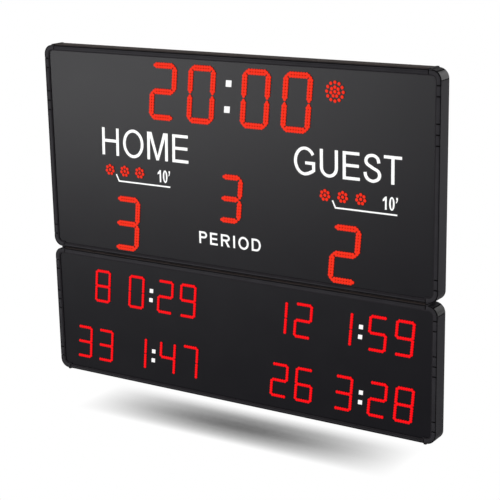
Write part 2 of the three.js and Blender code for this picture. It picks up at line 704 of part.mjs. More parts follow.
// A part on the control board, from its centre and its size.
function boardPart(x, z, width, height, depth) {
  const root = CONTROL_BACK - BOARD_THICKNESS / 2;
  const back = CONTROL_BACK + depth;
  return block(x - width / 2, x + width / 2, root, back, z - height / 2, z + height / 2);
}

// Control board with its radio module, processor, connectors and the two button housings.
function addControlBoard() {
  const { left, right, low, high } = CONTROL;
  const board = block(left, right, CONTROL_FRONT, CONTROL_BACK, low, high);
  const parts = [RADIO_MODULE, PROCESSOR, ...CONNECTORS].map((part) => (
    boardPart(CONTROL_X + part.x, SERVICE_Z + part.z, part.width, part.height, part.depth)
  ));
  const { size, depth } = BUTTON_HOUSING;
  const housings = BUTTON_X.map((x) => boardPart(x, BUTTON_Z, size, size, depth));
  const boreRadius = BUTTON.radius + CLEARANCE;
  const bores = BUTTON_X.map((x) => (
    barAlongY(x, BUTTON_Z, boreRadius, CONTROL_BACK, HOUSING_BACK + 1, 12)
  ));
  addPiece(penaltyCase, 'control_board', shape([board, ...parts, ...housings], bores), greenBoard);
}

// Two push buttons that stand out of their housings by more than their travel.
function addSetupButtons() {
  const start = CONTROL_BACK + BUTTON.travel + CLEARANCE;
  BUTTON_X.forEach((x, i) => {
    const plunger = barAlongY(0, 0, BUTTON.radius, start, start + BUTTON.length, 12);
    const mesh = addPiece(penaltyCase, `setup_button_${i + 1}`, plunger, redPlastic);
    mesh.position.set(x, 0, BUTTON_Z);
  });
}

// Mains switch on the tray floor: a housing with a pocket, and the rocker in it.
function addMainsSwitch() {
  const front = TRAY_FLOOR + CLEARANCE;
  const back = front + SWITCH.depth;
  const x = WINDOW.right - SWITCH.fromEdge;
  const z = SERVICE_Z;
  const halfX = SWITCH.width / 2;
  const halfZ = SWITCH.height / 2;
  const openX = halfX - SWITCH.wall;
  const openZ = halfZ - SWITCH.wall;
  const body = block(x - halfX, x + halfX, front, back, z - halfZ, z + halfZ);
  const pocketFloor = back - SWITCH.pocket;
  const pocket = block(x - openX, x + openX, pocketFloor, back + 1, z - openZ, z + openZ);
  addPiece(penaltyCase, 'mains_switch_body', shape([body], [pocket]), blackPlastic);

  const { endGap, crown, waist, side, keel, tilt, sink } = ROCKER;
  const half = openZ - endGap;
  const section = [
    [crown, half],
    [waist, 0],
    [crown, -half],
    [side, -half],
    [-keel, 0],
    [side, half],
  ];
  const reach = openX - CLEARANCE;
  const rocker = prism(section, 'x', -reach, reach);
  const mesh = addPiece(penaltyCase, 'mains_switch_rocker', rocker, redPlastic);
  mesh.position.set(x, back - sink, z);
  mesh.rotation.x = THREE.MathUtils.degToRad(-tilt);
}

// Hatch over the service window. Its two knuckles ride on the hinge pin, with the cover's
// knuckle between them.
const LATCH_X = WINDOW.right - LATCH.inset;
function addHatch() {
  const { left, right, low, high, front, back } = DOOR;
  const parts = [block(left, right, front, back, low, high)];
  const holeRadius = LATCH.shaft + LATCH.play;
  const bores = [barAlongY(LATCH_X, SERVICE_Z, holeRadius, front - 1, back + 1)];
  for (const start of [low, high - HINGE.knuckle]) {
    const end = start + HINGE.knuckle;
    parts.push(block(HINGE_X, left + 1, front, back, start, end));
    parts.push(barAlongZ(HINGE_X, HINGE_Y, HINGE_RADIUS, start, end));
    bores.push(barAlongZ(HINGE_X, HINGE_Y, HINGE_BORE, start - 1, end + 1));
  }
  addPiece(penaltyCase, 'service_hatch', shape(parts, bores), blackPaint);
  const shank = barAlongZ(HINGE_X, HINGE_Y, HINGE.pin, low, high + 1);
  const headStart = high + CLEARANCE;
  const head = barAlongZ(HINGE_X, HINGE_Y, HINGE_RADIUS, headStart, headStart + HINGE.pinHead);
  addPiece(penaltyCase, 'hatch_hinge_pin', shape([shank, head]), zincSteel);
}

// Quarter-turn latch: a slotted head outside the hatch, a shaft through it and a tongue inside.
// It is drawn released, with the tongue upright. Turned 90 degrees, the tongue reaches behind
// the cover's edge.
function addLatch() {
  const headFront = DOOR.back + CLEARANCE;
  const headBack = headFront + LATCH.headHeight;
  const tongueBack = COVER_FRONT - CLEARANCE;
  const tongueFront = tongueBack - SHEET;
  const shaft = barAlongY(0, 0, LATCH.shaft, tongueFront, headFront + 1, 12);
  const head = barAlongY(0, 0, LATCH.head, headFront, headBack, 20);
  const half = LATCH.width / 2;
  const tongue = block(-half, half, tongueFront, tongueBack, -half, LATCH.inset + LATCH.reach);
  const slotHalf = LATCH.slot / 2;
  const slotReach = LATCH.head + 1;
  const slotFloor = headBack - LATCH.slot;
  const slot = block(-slotHalf, slotHalf, slotFloor, headBack + 1, -slotReach, slotReach);
  const latch = addPiece(penaltyCase, 'hatch_latch', shape([shaft, head, tongue], [slot]), zincSteel);
  latch.position.set(LATCH_X, 0, SERVICE_Z);
}

// Closed rubber grommet in the rear cover, to be pierced for the mains cable.
function addGrommet() {
  const { x, neck, lap, rim, sides } = GROMMET;
  const flange = neck + lap;
  const inside = COVER_FRONT - CLEARANCE;
  const outside = COVER_BACK + CLEARANCE;
  const profile = [
    [0, inside - rim],
    [flange, inside - rim],
    [flange, inside],
    [neck, inside],
    [neck, outside],
    [flange, outside],
    [flange, outside + rim],
    [0, outside + rim],
  ];
  const geometry = new THREE.LatheGeometry(toPath(profile, THREE.Path).getPoints(), sides);
  const mesh = addPiece(penaltyCase, 'mains_grommet', geometry, rubber);
  mesh.position.set(x, 0, GROMMET_Z);
}

// The cable runs from under the power supply, through both rails, to the side of the service
// tray. Heights are from the top of the penalty case.
function addLinkCable() {
  const startZ = MAIN_HEIGHT + CASE_GAP + POWER_SUPPLY_LOW - CLEARANCE;
  const endX = WINDOW.right + SERVICE.rim + TRAY_WALL + CLEARANCE;
  const endZ = SERVICE_Z + LINK.aboveTrayCentre;
  const place = (x, z) => new THREE.Vector3(x, LINK_DEPTH, z);
  const { x } = POWER_SUPPLY;
  const { bend } = LINK;
  const route = new THREE.CurvePath();
  const corner = place(x, endZ);
  route.add(new THREE.LineCurve3(place(x, startZ), place(x, endZ + bend)));
  route.add(new THREE.QuadraticBezierCurve3(place(x, endZ + bend), corner, place(x - bend, endZ)));
  route.add(new THREE.LineCurve3(place(x - bend, endZ), place(endX, endZ)));
  const section = toPath(arc(0, 0, LINK.radius, 0, 315, 7), THREE.Shape);
  const options = { steps: LINK.steps, extrudePath: route, bevelEnabled: false };
  addPiece(penaltyCase, 'link_cable', new THREE.ExtrudeGeometry(section, options), blackPlastic);
}

// Wall rail: a strip with a shelf and an upturned lip, held by four round-headed screws.
function addWallRail() {
  const { length, height, sheet, shelf, reach, lip } = WALL_RAIL;
  const half = height / 2;
  const section = [
    [0, -half],
    [0, half],
    [-sheet, half],
    [-sheet, shelf + sheet],
    [-reach + sheet, shelf + sheet],
    [-reach + sheet, shelf + lip],
    [-reach, shelf + lip],
    [-reach, shelf],
    [-sheet, shelf],
    [-sheet, -half],
  ];
  const strip = prism(section, 'x', -length / 2, length / 2);
  const { radius, height: rise, z } = WALL_SCREW;
  const screws = WALL_SCREW_X.map((x) => barAlongY(x, z, radius, -sheet - rise, -sheet / 2));
  addPiece(scoreboard, 'wall_rail', shape([strip, ...screws]), zincSteel);
}

// Places of the uprights, from the origin
const UPRIGHT_WEB = -WALL_FACE + UPRIGHT_FRONT;
const UPRIGHT_X = WALL_RAIL.length / 2 - UPRIGHT.fromRailEnd;
const UPRIGHT_LOW = BOARD_BOTTOM + UPRIGHT.rise;
const UPRIGHT_HIGH = TOP_ABOVE_ORIGIN - UPRIGHT.drop;

// Upright channel, open to the wall, with a hook cut in its sides that drops over the wall
// rail's lip.
function addUpright(side) {
  const { width, sheet, wallGap } = UPRIGHT;
  const lipFront = -WALL_RAIL.reach - CLEARANCE;
  const lipBack = -WALL_RAIL.reach + WALL_RAIL.sheet + CLEARANCE;
  const lipTop = WALL_RAIL.shelf + WALL_RAIL.lip + CLEARANCE;
  const fingerEnd = WALL_RAIL.shelf + WALL_RAIL.sheet + CLEARANCE;
  const outline = [
    [UPRIGHT_WEB, UPRIGHT_LOW],
    [-wallGap, UPRIGHT_LOW],
    [-wallGap, fingerEnd - HOOK_ENTRY],
    [lipFront, fingerEnd - HOOK_ENTRY],
    [lipFront, lipTop],
    [lipBack, lipTop],
    [lipBack, fingerEnd],
    [-wallGap, fingerEnd],
    [-wallGap, UPRIGHT_HIGH],
    [UPRIGHT_WEB, UPRIGHT_HIGH],
  ];
  const left = side * UPRIGHT_X - width / 2;
  const right = left + width;
  const sides = [prism(outline, 'x', left, left + sheet), prism(outline, 'x', right - sheet, right)];
  const web = block(left, right, UPRIGHT_WEB, UPRIGHT_WEB + sheet, UPRIGHT_LOW, UPRIGHT_HIGH);
  addPiece(scoreboard, `${side < 0 ? 'left' : 'right'}_upright`, shape([web, ...sides]), zincSteel);
}

// Rubber buffer inside the upright's foot, resting on the wall.
function addBuffer(side) {
  const start = UPRIGHT_WEB + UPRIGHT.sheet + CLEARANCE;
  const radius = UPRIGHT.width / 2 - UPRIGHT.sheet - BUFFER.sideGap;
  const z = UPRIGHT_LOW + BUFFER.rise;
  const buffer = barAlongY(side * UPRIGHT_X, z, radius, start, 0);
  addPiece(scoreboard, `${side < 0 ? 'left' : 'right'}_buffer`, buffer, rubber);
}

addMainCase();
addPenaltyCase();
addWallRail();
for (const side of [-1, 1]) {
  addUpright(side);
  addBuffer(side);
}

export default scoreboard;
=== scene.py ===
import math

import bmesh
import bpy
from mathutils import Matrix, Vector


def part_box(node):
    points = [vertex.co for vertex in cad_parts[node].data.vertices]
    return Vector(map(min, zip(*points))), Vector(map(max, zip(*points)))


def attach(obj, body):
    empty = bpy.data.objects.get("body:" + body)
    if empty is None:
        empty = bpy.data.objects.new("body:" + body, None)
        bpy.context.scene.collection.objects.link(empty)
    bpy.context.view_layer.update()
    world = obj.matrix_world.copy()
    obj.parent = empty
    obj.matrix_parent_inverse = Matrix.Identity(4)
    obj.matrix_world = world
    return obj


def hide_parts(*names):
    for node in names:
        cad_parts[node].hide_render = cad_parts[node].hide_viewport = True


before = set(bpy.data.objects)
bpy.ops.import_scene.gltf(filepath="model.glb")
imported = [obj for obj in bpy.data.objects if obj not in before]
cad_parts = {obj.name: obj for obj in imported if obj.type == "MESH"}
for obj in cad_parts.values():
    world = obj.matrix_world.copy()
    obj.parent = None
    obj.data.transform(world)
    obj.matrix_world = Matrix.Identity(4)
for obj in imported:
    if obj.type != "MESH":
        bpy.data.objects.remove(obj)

# Electronic scoreboard: a main case over a penalty case, on uprights that hook on a wall rail.
# Sizes are millimetres times MM. Places on the front are measured from the middle of the board
# and from the main case's top; depths are measured from the front face.
MM = 0.001
SHARP = math.radians(35)  # an edge that turns more than this is rounded
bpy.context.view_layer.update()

# Places that come from the frame
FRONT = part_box("main_top_rail")[0].y
MAIN_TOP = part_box("main_top_rail")[1].z
MAIN_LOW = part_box("main_bottom_rail")[0].z
PENALTY_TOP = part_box("penalty_top_rail")[1].z
PENALTY_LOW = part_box("penalty_bottom_rail")[0].z
CASES = (("main", MAIN_TOP, MAIN_LOW), ("penalty", PENALTY_TOP, PENALTY_LOW))
HALF_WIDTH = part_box("main_right_rail")[1].x
CASE_DEPTH = (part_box("main_top_rail")[1].y - FRONT) / MM
PANEL_DEPTH = (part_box("main_front_panel")[0].y - FRONT) / MM
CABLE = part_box("link_cable")
CABLE_Y = (CABLE[0].y + CABLE[1].y) / 2
CABLE_X = CABLE[1].x - (CABLE[1].y - CABLE[0].y) / 2

# Section of the rails and corner pieces
WALL = 3
FLANGE = 18
BOTTOM_FLANGE = 11
FLANGE_DEPTH = 4.7
LEDGE_DEPTH = 9.3
LEDGE = 2
LEDGE_REACH = 15
REAR_LIP = 2.5
REAR_REACH = 16
LINE_DEPTH = 3        # depth of the dark line round the face
LINE_START = 0.7      # from the outer face to that line
LINE_END = 3.9
GROOVE_DEPTH = 0.6    # shallow groove along the middle of the level rails
GROOVE_START = 8.4
GROOVE_END = 9.6
CORNER_RADIUS = 39
CORNER_ARM = 50
SIDE_ARM = 55.3
LOW_SIDE_ARM = 52
CABLE_HOLE = 7        # radius of the hole for the cable between the cases
RIB_RISE = 4.25
RIB_EDGE = 2.2        # the part of a rib's front painted black as shade, where two ribs meet
LIT_GLOSS_START = 37.5   # degrees from the top, where a top corner's glossy part, put where the light falls, starts
PAINTED_EDGE_SPAN = 7.5     # degrees of black painted before it, as painted shade at the glossy part's edge
LIT_GLOSS_END = 86.25
SEAM = 0.8
COVER_LENGTH = 39.4
COVER_GROOVE = 4.8
END_GROOVE = 1.2      # the same at the ends of a level rail's face
SIDE_END_GROOVE = 2.2
JOINT = 1.8           # chamfer at the ends of a corner's arms
JOINT_SINK = 0.8
STEP_DEPTH = 6        # behind this, the level rails stand a step higher
STEP = 2.6
SECOND_COVER_DROP = 192
EDGE = 0.35           # rounding of the rails' and corners' edges
FIRST_STEP = 0.3      # of the face, out of the wall
END_SPARE = 1         # trimmed off a side rail's end


def linear(code):
    """Turns an sRGB hex colour to the linear values that shaders use."""
    channels = [int(code[i:i + 2], 16) / 255 for i in (1, 3, 5)]
    return [c / 12.92 if c <= 0.04045 else ((c + 0.055) / 1.055) ** 2.4 for c in channels] + [1]


def deselect():
    bpy.ops.object.select_all(action="DESELECT")


def pick(*pieces):
    """Selects these pieces alone, the first of them active."""
    deselect()
    for piece in pieces:
        piece.select_set(True)
    bpy.context.view_layer.objects.active = pieces[0]


def named(piece, name):
    piece.name = name
    piece.data.name = name
    return piece


def edit(piece, mode="FACE"):
    pick(piece)
    bpy.ops.object.mode_set(mode="EDIT")
    bpy.ops.mesh.select_mode(type=mode)


def leave():
    bpy.ops.object.mode_set(mode="OBJECT")


def select_all():
    bpy.ops.mesh.select_all(action="SELECT")


def select_parts(piece, kind, measure, test):
    """In edit mode, selects the faces or edges whose measures pass a test."""
    mesh = bmesh.from_edit_mesh(piece.data)
    parts = getattr(mesh, kind)
    for part in parts:
        part.select_set(False)
    for part in parts:
        if test(*measure(part)):
            part.select_set(True)
    mesh.select_flush_mode()
    bmesh.update_edit_mesh(piece.data)


def select_faces(piece, test):
    """Selects faces by their centre and normal."""
    select_parts(piece, "faces", lambda face: (face.calc_center_median(), face.normal), test)


def select_edges(piece, test):
    """Selects edges by their middle and direction."""
    def measure(edge):
        start, end = (vertex.co for vertex in edge.verts)
        return (start + end) / 2, (end - start).normalized()

    select_parts(piece, "edges", measure, test)


def cut(place, normal):
    """In edit mode, cuts every face along a plane."""
    select_all()
    bpy.ops.mesh.bisect(plane_co=place, plane_no=normal)


def trim(place, normal):
    """In edit mode, takes away what lies past a plane and closes the cut."""
    select_all()
    bpy.ops.mesh.bisect(plane_co=place, plane_no=normal, use_fill=True, clear_outer=True)


def extrude(x=0, y=0, z=0):
    bpy.ops.mesh.extrude_region_move(TRANSFORM_OT_translate={"value": (x * MM, y * MM, z * MM)})


def shift(x=0, y=0, z=0):
    bpy.ops.transform.translate(value=(x * MM, y * MM, z * MM))


def inset(width):
    bpy.ops.mesh.inset(thickness=width * MM)


def weld(reach):
    """In edit mode, merges points that lie within a reach of each other."""
    select_all()
    bpy.ops.mesh.remove_doubles(threshold=reach * MM)


def face_outwards():
    select_all()
    bpy.ops.mesh.normals_make_consistent(inside=False)


def near(value, target, reach=0.05):
    """Tests a length in metres against one in millimetres."""
    return abs(value / MM - target) < reach


def within(value, low, high):
    """Tests a length in metres against two in millimetres."""
    return low < value / MM < high


def settled(name):
    """The piece that was just added, its place and size moved into its mesh."""
    bpy.ops.object.transform_apply(location=True, rotation=True, scale=True)
    return named(bpy.context.active_object, name)


def start_block(name, low, high):
    """A block between two corners, in millimetres, to be shaped further."""
    size = [(b - a) * MM for a, b in zip(low, high)]
    centre = [(a + b) / 2 * MM for a, b in zip(low, high)]
    deselect()
    bpy.ops.mesh.primitive_cube_add(size=1, location=centre, scale=size)
    return settled(name)


def start_cylinder(name, sides, radius, height, middle=0):
    """A cylinder along Z, in millimetres."""
    deselect()
    bpy.ops.mesh.primitive_cylinder_add(
        vertices=sides, radius=radius * MM, depth=height * MM, location=(0, 0, middle * MM),
    )
    return settled(name)


def apply_modifier(piece, kind, **settings):
    pick(piece)
    modifier = piece.modifiers.new("shaping", kind)
    for name, value in settings.items():
        setattr(modifier, name, value)
    bpy.ops.object.modifier_apply(modifier=modifier.name)


def apply_bevel(piece, width, segments=2):
    apply_modifier(
        piece, "BEVEL", width=width * MM, segments=segments, limit_method="ANGLE",
        angle_limit=SHARP,
    )


def smooth(piece):
    pick(piece)
    bpy.ops.object.shade_smooth_by_angle(angle=SHARP)


def keep_flat(piece):
    """Lets the large faces keep their own normals beside rounded edges."""
    apply_modifier(piece, "WEIGHTED_NORMAL", keep_sharp=True)


def copy_of(piece, name, matrix):
    """A copy with its own mesh, moved by a matrix."""
    copy = piece.copy()
    copy.data = piece.data.copy()
    copy.data.transform(matrix)
    bpy.context.collection.objects.link(copy)
    return named(copy, name)


def joined(name, pieces):
    pick(*pieces)
    if len(pieces) > 1:
        bpy.ops.object.join()
    return named(bpy.context.active_object, name)


def discard(*pieces):
    for piece in pieces:
        bpy.data.meshes.remove(piece.data)


def dress(piece, material, body="board", replaces=None):
    """Gives a finished piece its material, where it has none and its body."""
    if material:
        piece.data.materials.clear()
        piece.data.materials.append(material)
    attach(piece, body)
    if replaces:
        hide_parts(replaces)
    return piece


def paint(piece, material, test):
    """Gives a second material to the faces whose centre and normal pass a test."""
    piece.data.materials.append(material)
    for polygon in piece.data.polygons:
        if test(polygon.center, polygon.normal):
            polygon.material_index = len(piece.data.materials) - 1


def new_material(name):
    material = bpy.data.materials.new(name)
    material.use_nodes = True
    return material


def add_node(owner, kind, settings=None, sockets=None, links=None):
    """Adds a node to a material or world, with its settings, its socket values and its links."""
    node = owner.node_tree.nodes.new("ShaderNode" + kind)
    for name, value in (settings or {}).items():
        setattr(node, name, value)
    for name, value in (sockets or {}).items():
        node.inputs[name].default_value = value
    for name, output in (links or {}).items():
        owner.node_tree.links.new(output, node.inputs[name])
    return node


def link(owner, output, node, socket):
    owner.node_tree.links.new(output, node.inputs[socket])


def shader_of(material, sockets):
    """The material's surface shader, with its socket values."""
    shader = material.node_tree.nodes["Principled BSDF"]
    for name, value in sockets.items():
        shader.inputs[name].default_value = value
    return shader


def mottled(name, dark, light, spot, rough, bump_size, bump, shine, **sockets):
    """A coated surface: two close colours that drift over it, and a fine relief. The spot and
    bump sizes are millimetres."""
    material = new_material(name)
    shader = shader_of(material, {"Specular IOR Level": shine, **sockets})
    place = add_node(material, "TexCoord").outputs["Object"]
    drift, grain = (
        add_node(
            material, "TexNoise", sockets={"Scale": 1 / (size * MM), "Detail": detail},
            links={"Vector": place},
        ).outputs["Fac"]
        for size, detail in ((spot, 3), (bump_size, 2))
    )
    tones = add_node(material, "ValToRGB", links={"Fac": drift})
    for element, stop, code in zip(tones.color_ramp.elements, (0.35, 0.65), (dark, light)):
        element.position = stop
        element.color = linear(code)
    spread = add_node(
        material, "MapRange", sockets={"To Min": rough[0], "To Max": rough[1]},
        links={"Value": drift},
    )
    relief = add_node(
        material, "Bump", sockets={"Strength": bump, "Distance": 0.1 * MM},
        links={"Height": grain},
    )
    link(material, tones.outputs["Color"], shader, "Base Color")
    link(material, spread.outputs["Result"], shader, "Roughness")
    link(material, relief.outputs["Normal"], shader, "Normal")
    return material


# Powder-coated aluminium extrusion: satin, with a fine orange peel. The peel's bumps of about
# 0.5 mm are drawn 3 mm across, or they wouldn't show.
rail_coat = mottled(
    "powder_coated_extrusion", "#262528", "#2a292c", 60, (0.5, 0.58), 3, 0.12, 0.03,
)
# The raised strip at the rear of a level rail's outer face: a warm, lighter grey that is painted
# light, standing in for the warm light that falls on the rails' tops.
painted_light_strip = mottled(
    "painted_light_strip_coat", "#3a3432", "#3f3836", 60, (0.6, 0.68), 3, 0.1, 0.02,
)
# Enamelled casting: satin like the rails on its face.
corner_coat = mottled(
    "enamelled_casting", "#262528", "#2a292c", 40, (0.5, 0.56), 4, 0.06, 0.03,
)
# The casting's outer arc on the top corners only: a glossier, darker copy of its coat, laid where
# the light falls so that it catches the lamps' highlight. The gloss is real roughness, but
# putting it only where the light falls is painted light, and the bottom corners keep the plain
# coat.
lit_corner_gloss = mottled(
    "enamelled_casting_lit_gloss", "#151415", "#181718", 40, (0.16, 0.2), 6, 0.02, 0.08,
)
# Inside the joints, grooves and lines of the face: these are real recesses, and their black is
# painted shade that makes them read dark.
joint_painted_shade = mottled(
    "joint_painted_shade_black", "#060506", "#090809", 10, (0.8, 0.9), 2, 0.1, 0.02,
)
# Powder-coated steel sheet: flat and matte, its peel also drawn 3 mm across.
cover_coat = mottled(
    "powder_coated_sheet", "#262628", "#2a2a2c", 80, (0.5, 0.6), 3, 0.15, 0.3,
)
# Smoke polycarbonate with an anti-glare face, which spreads the light that it reflects.
panel_smoke = mottled(
    "smoke_polycarbonate", "#030207", "#050409", 120, (0.37, 0.4), 5, 0.03, 0.06, IOR=1.58,
)
# Extruded rubber seal: black and dull.
seal_rubber = mottled(
    "extruded_rubber", "#1f1d20", "#232124", 20, (0.7, 0.8), 2, 0.2, 0.03,
)
# Injection-moulded ABS, black, with a fine spark-eroded grain drawn 1.5 mm across.
black_abs = mottled(
    "moulded_black_abs", "#171719", "#1b1b1d", 15, (0.45, 0.55), 1.5, 0.15, 0.4,
)
# Injection-moulded ABS, red and glossy.
red_abs = mottled(
    "moulded_red_abs", "#a81c18", "#b5221d", 10, (0.25, 0.32), 3, 0.03, 0.5,
)
# Screen-printed ink: a thin, even, matte white film.
white_ink = mottled(
    "screen_printed_ink", "#f4f4f4", "#fdfdfd", 30, (0.6, 0.7), 2, 0.05, 0.3,
)


def metal(name, dark, light, grain, stretch, rough):
    """A bare or plated metal: close tones in cells or lines whose size is millimetres."""
    material = new_material(name)
    shader = shader_of(material, {"Metallic": 1.0})
    place = add_node(material, "TexCoord").outputs["Object"]
    scaled = add_node(
        material, "Mapping", sockets={"Scale": stretch}, links={"Vector": place},
    )
    cells = add_node(
        material, "TexVoronoi", sockets={"Scale": 1 / (grain * MM), "Randomness": 1.0},
        links={"Vector": scaled.outputs["Vector"]},
    )
    tone = add_node(
        material, "SeparateColor", links={"Color": cells.outputs["Color"]},
    ).outputs["Red"]
    tones = add_node(material, "ValToRGB", links={"Fac": tone})
    tones.color_ramp.elements[0].color = linear(dark)
    tones.color_ramp.elements[1].color = linear(light)
    spread = add_node(
        material, "MapRange", sockets={"To Min": rough[0], "To Max": rough[1]},
        links={"Value": tone},
    )
    link(material, tones.outputs["Color"], shader, "Base Color")
    link(material, spread.outputs["Result"], shader, "Roughness")
    return material


# Zinc-plated steel: grey, with the crystal pattern that hot dipping leaves, about 8 mm across.
zinc_steel = metal("zinc_plated_steel", "#9a9fa3", "#b4b8bb", 8, (1, 1, 1), (0.35, 0.5))
# Rolled aluminium sheet: long faint lines along the rolling direction.
rolled_aluminium = metal("rolled_aluminium", "#b3b6b8", "#c1c4c6", 3, (0.02, 1, 1), (0.3, 0.4))

# Tinned steel of small electronic parts: smoother and brighter than the zinc.
tinned_steel = metal("tinned_steel", "#c4c6c8", "#d2d4d5", 2, (1, 1, 1), (0.22, 0.3))
# Transfer-moulded epoxy of chips, charcoal and dull.
chip_epoxy = mottled(
    "moulded_epoxy", "#1d1d1f", "#232325", 6, (0.6, 0.7), 0.6, 0.15, 0.3,
)
# Moulded nylon of the connectors, ivory.
ivory_nylon = mottled(
    "moulded_nylon", "#d8d3c2", "#e0dbcb", 8, (0.45, 0.55), 1, 0.1, 0.4,
)


def lit_lens(name, rim, middle, body):
    """A lit lens: brightest over its die, deeper in colour at its rim. The piece's own "glow"
    attribute is 0 at the rim and 1 in the middle."""
    material = new_material(name)
    shader = shader_of(material, {
        "Base Color": linear(body), "Roughness": 0.4, "Specular IOR Level": 0.03,
        "Emission Strength": 1.0,
    })
    glow = add_node(material, "Attribute", {"attribute_name": "glow"})
    tones = add_node(material, "ValToRGB", links={"Fac": glow.outputs["Fac"]})
    tones.color_ramp.elements[0].color = linear(rim)
    tones.color_ramp.elements[1].color = linear(middle)
    link(material, tones.outputs["Color"], shader, "Emission Color")
    return material


# Red LEDs in diffused epoxy, lit: orange-red in the main case, and a purer red in the smaller
# ones of the penalty case.
red_led = lit_lens("red_diffused_epoxy", "#d8200e", "#f02e18", "#3a0703")
deep_red_led = lit_lens("deep_red_diffused_epoxy", "#e4040c", "#fa0611", "#3a0303")
# White lens in front of lit LEDs.
white_led = lit_lens("white_diffused_lens", "#f0f0f0", "#ffffff", "#202020")


def circuit_board():
    """Green solder mask over copper tracks, drawn 0.8 mm wide so that they show."""
    material = new_material("solder_mask")
    shader = shader_of(material, {"Roughness": 0.35, "Specular IOR Level": 0.5})
    place = add_node(material, "TexCoord").outputs["Object"]
    turned = add_node(
        material, "Mapping", sockets={"Rotation": (math.pi / 2, 0, 0)},
        links={"Vector": place},
    )
    tracks = add_node(
        material, "TexBrick",
        settings={"offset": 0.37, "offset_frequency": 3, "squash": 1.0},
        sockets={"Scale": 1.0, "Mortar Size": 0.4 * MM, "Brick Width": 43 * MM,
                 "Row Height": 2.6 * MM, "Color1": linear("#1d5537"),
                 "Color2": linear("#1b5034"), "Mortar": linear("#246442")},
        links={"Vector": turned.outputs["Vector"]},
    )
    link(material, tracks.outputs["Color"], shader, "Base Color")
    return material


green_board = circuit_board()


CAMERA_PLACE = (3.0408, -4.6577, 0.8211)
CAMERA_ANGLES = (32.83, 14.96, -1.094)  # yaw, pitch and roll
CAMERA_LENS = 103.74


def add_camera():
    """A camera at the place from which the board was photographed, 5.8 m away."""
    yaw, pitch, roll = (math.radians(angle) for angle in CAMERA_ANGLES)
    forward = Vector((
        -math.sin(yaw) * math.cos(pitch), math.cos(yaw) * math.cos(pitch), -math.sin(pitch),
    ))
    level = Vector((math.cos(yaw), math.sin(yaw), 0))
    upright = level.cross(forward)
    right = math.cos(roll) * level + math.sin(roll) * upright
    up = -math.sin(roll) * level + math.cos(roll) * upright
    data = bpy.data.cameras.new("camera")
    data.sensor_width = 36
    data.lens = CAMERA_LENS
    data.clip_end = 200
    camera = bpy.data.objects.new("camera", data)
    turn = Matrix((right, up, -forward)).transposed().to_4x4()
    camera.matrix_world = Matrix.Translation(CAMERA_PLACE) @ turn
    bpy.context.collection.objects.link(camera)
    bpy.context.scene.camera = camera


add_camera()


def make_rail(name, length, face_length, flange, cover_places, has_groove):
    """A rail along X with its outer face at Z 0 and its flange towards -Z: the wall first, then
    the flange, the two raised strips of its face, the ledge for the panel and the rear lip."""
    half = length / 2
    half_face = face_length / 2
    end_groove = END_GROOVE if has_groove else SIDE_END_GROOVE
    rail = start_block(name, (-half, FLANGE_DEPTH + FIRST_STEP, -WALL), (half, CASE_DEPTH, 0))
    edit(rail)
    for x in (-half_face, half_face):
        if half_face < half:
            cut((x * MM, 0, 0), (1, 0, 0))
    for depth in (LEDGE_DEPTH, LEDGE_DEPTH + LEDGE, CASE_DEPTH - REAR_LIP):
        cut((0, depth * MM, 0), (0, 1, 0))

    def on_face(centre):
        return abs(centre.x / MM) < half_face

    select_faces(rail, lambda c, n: n.y < -0.9 and on_face(c))
    extrude(y=-FIRST_STEP)
    extrude(y=LINE_DEPTH - FLANGE_DEPTH)
    select_faces(rail, lambda c, n: (
        n.z < -0.9 and on_face(c) and within(c.y, LINE_DEPTH, FLANGE_DEPTH)
    ))
    extrude(z=WALL - flange)
    lines = [LINE_START, LINE_END]
    if has_groove:
        lines += [GROOVE_START, GROOVE_END]
    for inward in lines:
        cut((0, 0, -inward * MM), (0, 0, 1))
    for place in cover_places:
        for side in (-1, 1):
            cut(((place + side * COVER_GROOVE / 2) * MM, 0, 0), (1, 0, 0))
    for side in (-1, 1):
        cut((side * (half_face - end_groove) * MM, 0, 0), (1, 0, 0))

    def in_cover_groove(centre):
        at_end = abs(centre.x / MM) > half_face - end_groove
        return at_end or any(
            abs(centre.x / MM - place) < COVER_GROOVE / 2 for place in cover_places
        )

    def raised(centre, normal):
        inward = -centre.z / MM
        return (
            normal.y < -0.9 and on_face(centre) and centre.y / MM < LINE_DEPTH + 0.1
            and (inward < LINE_START or inward > LINE_END and not in_cover_groove(centre))
        )

    select_faces(rail, raised)
    extrude(y=GROOVE_DEPTH - LINE_DEPTH)
    select_faces(rail, lambda c, n: (
        n.y < -0.9 and near(c.y, GROOVE_DEPTH)
        and not (has_groove and within(-c.z, GROOVE_START, GROOVE_END))
    ))
    extrude(y=-GROOVE_DEPTH)
    select_faces(rail, lambda c, n: (
        n.z < -0.9 and near(c.z, -WALL) and on_face(c)
        and within(c.y, LEDGE_DEPTH, LEDGE_DEPTH + LEDGE)
    ))
    extrude(z=WALL - LEDGE_REACH)
    select_faces(rail, lambda c, n: (
        n.z < -0.9 and near(c.z, -WALL) and within(c.y, CASE_DEPTH - REAR_LIP, CASE_DEPTH)
    ))
    extrude(z=WALL - REAR_REACH)
    if has_groove:
        cut((0, STEP_DEPTH * MM, 0), (0, 1, 0))
        select_faces(rail, lambda c, n: n.z > 0.9 and near(c.z, 0) and c.y / MM > STEP_DEPTH)
        extrude(z=STEP)
    leave()
    apply_bevel(rail, EDGE)
    smooth(rail)
    rail.data.materials.append(rail_coat)
    # Painted light: the raised rear strip of the outer face in a warm, lighter grey.
    paint(rail, painted_light_strip, lambda c, n: c.z > 0.05 * MM)
    # Painted shade: black on the faces inside the lines and grooves of the face.
    paint(rail, joint_painted_shade, lambda c, n: (
        within(c.y, GROOVE_DEPTH + 0.05, LINE_DEPTH + 0.1) and n.z < 0.9
        and within(-c.z, 0.1, flange - 0.5)
    ))
    return rail


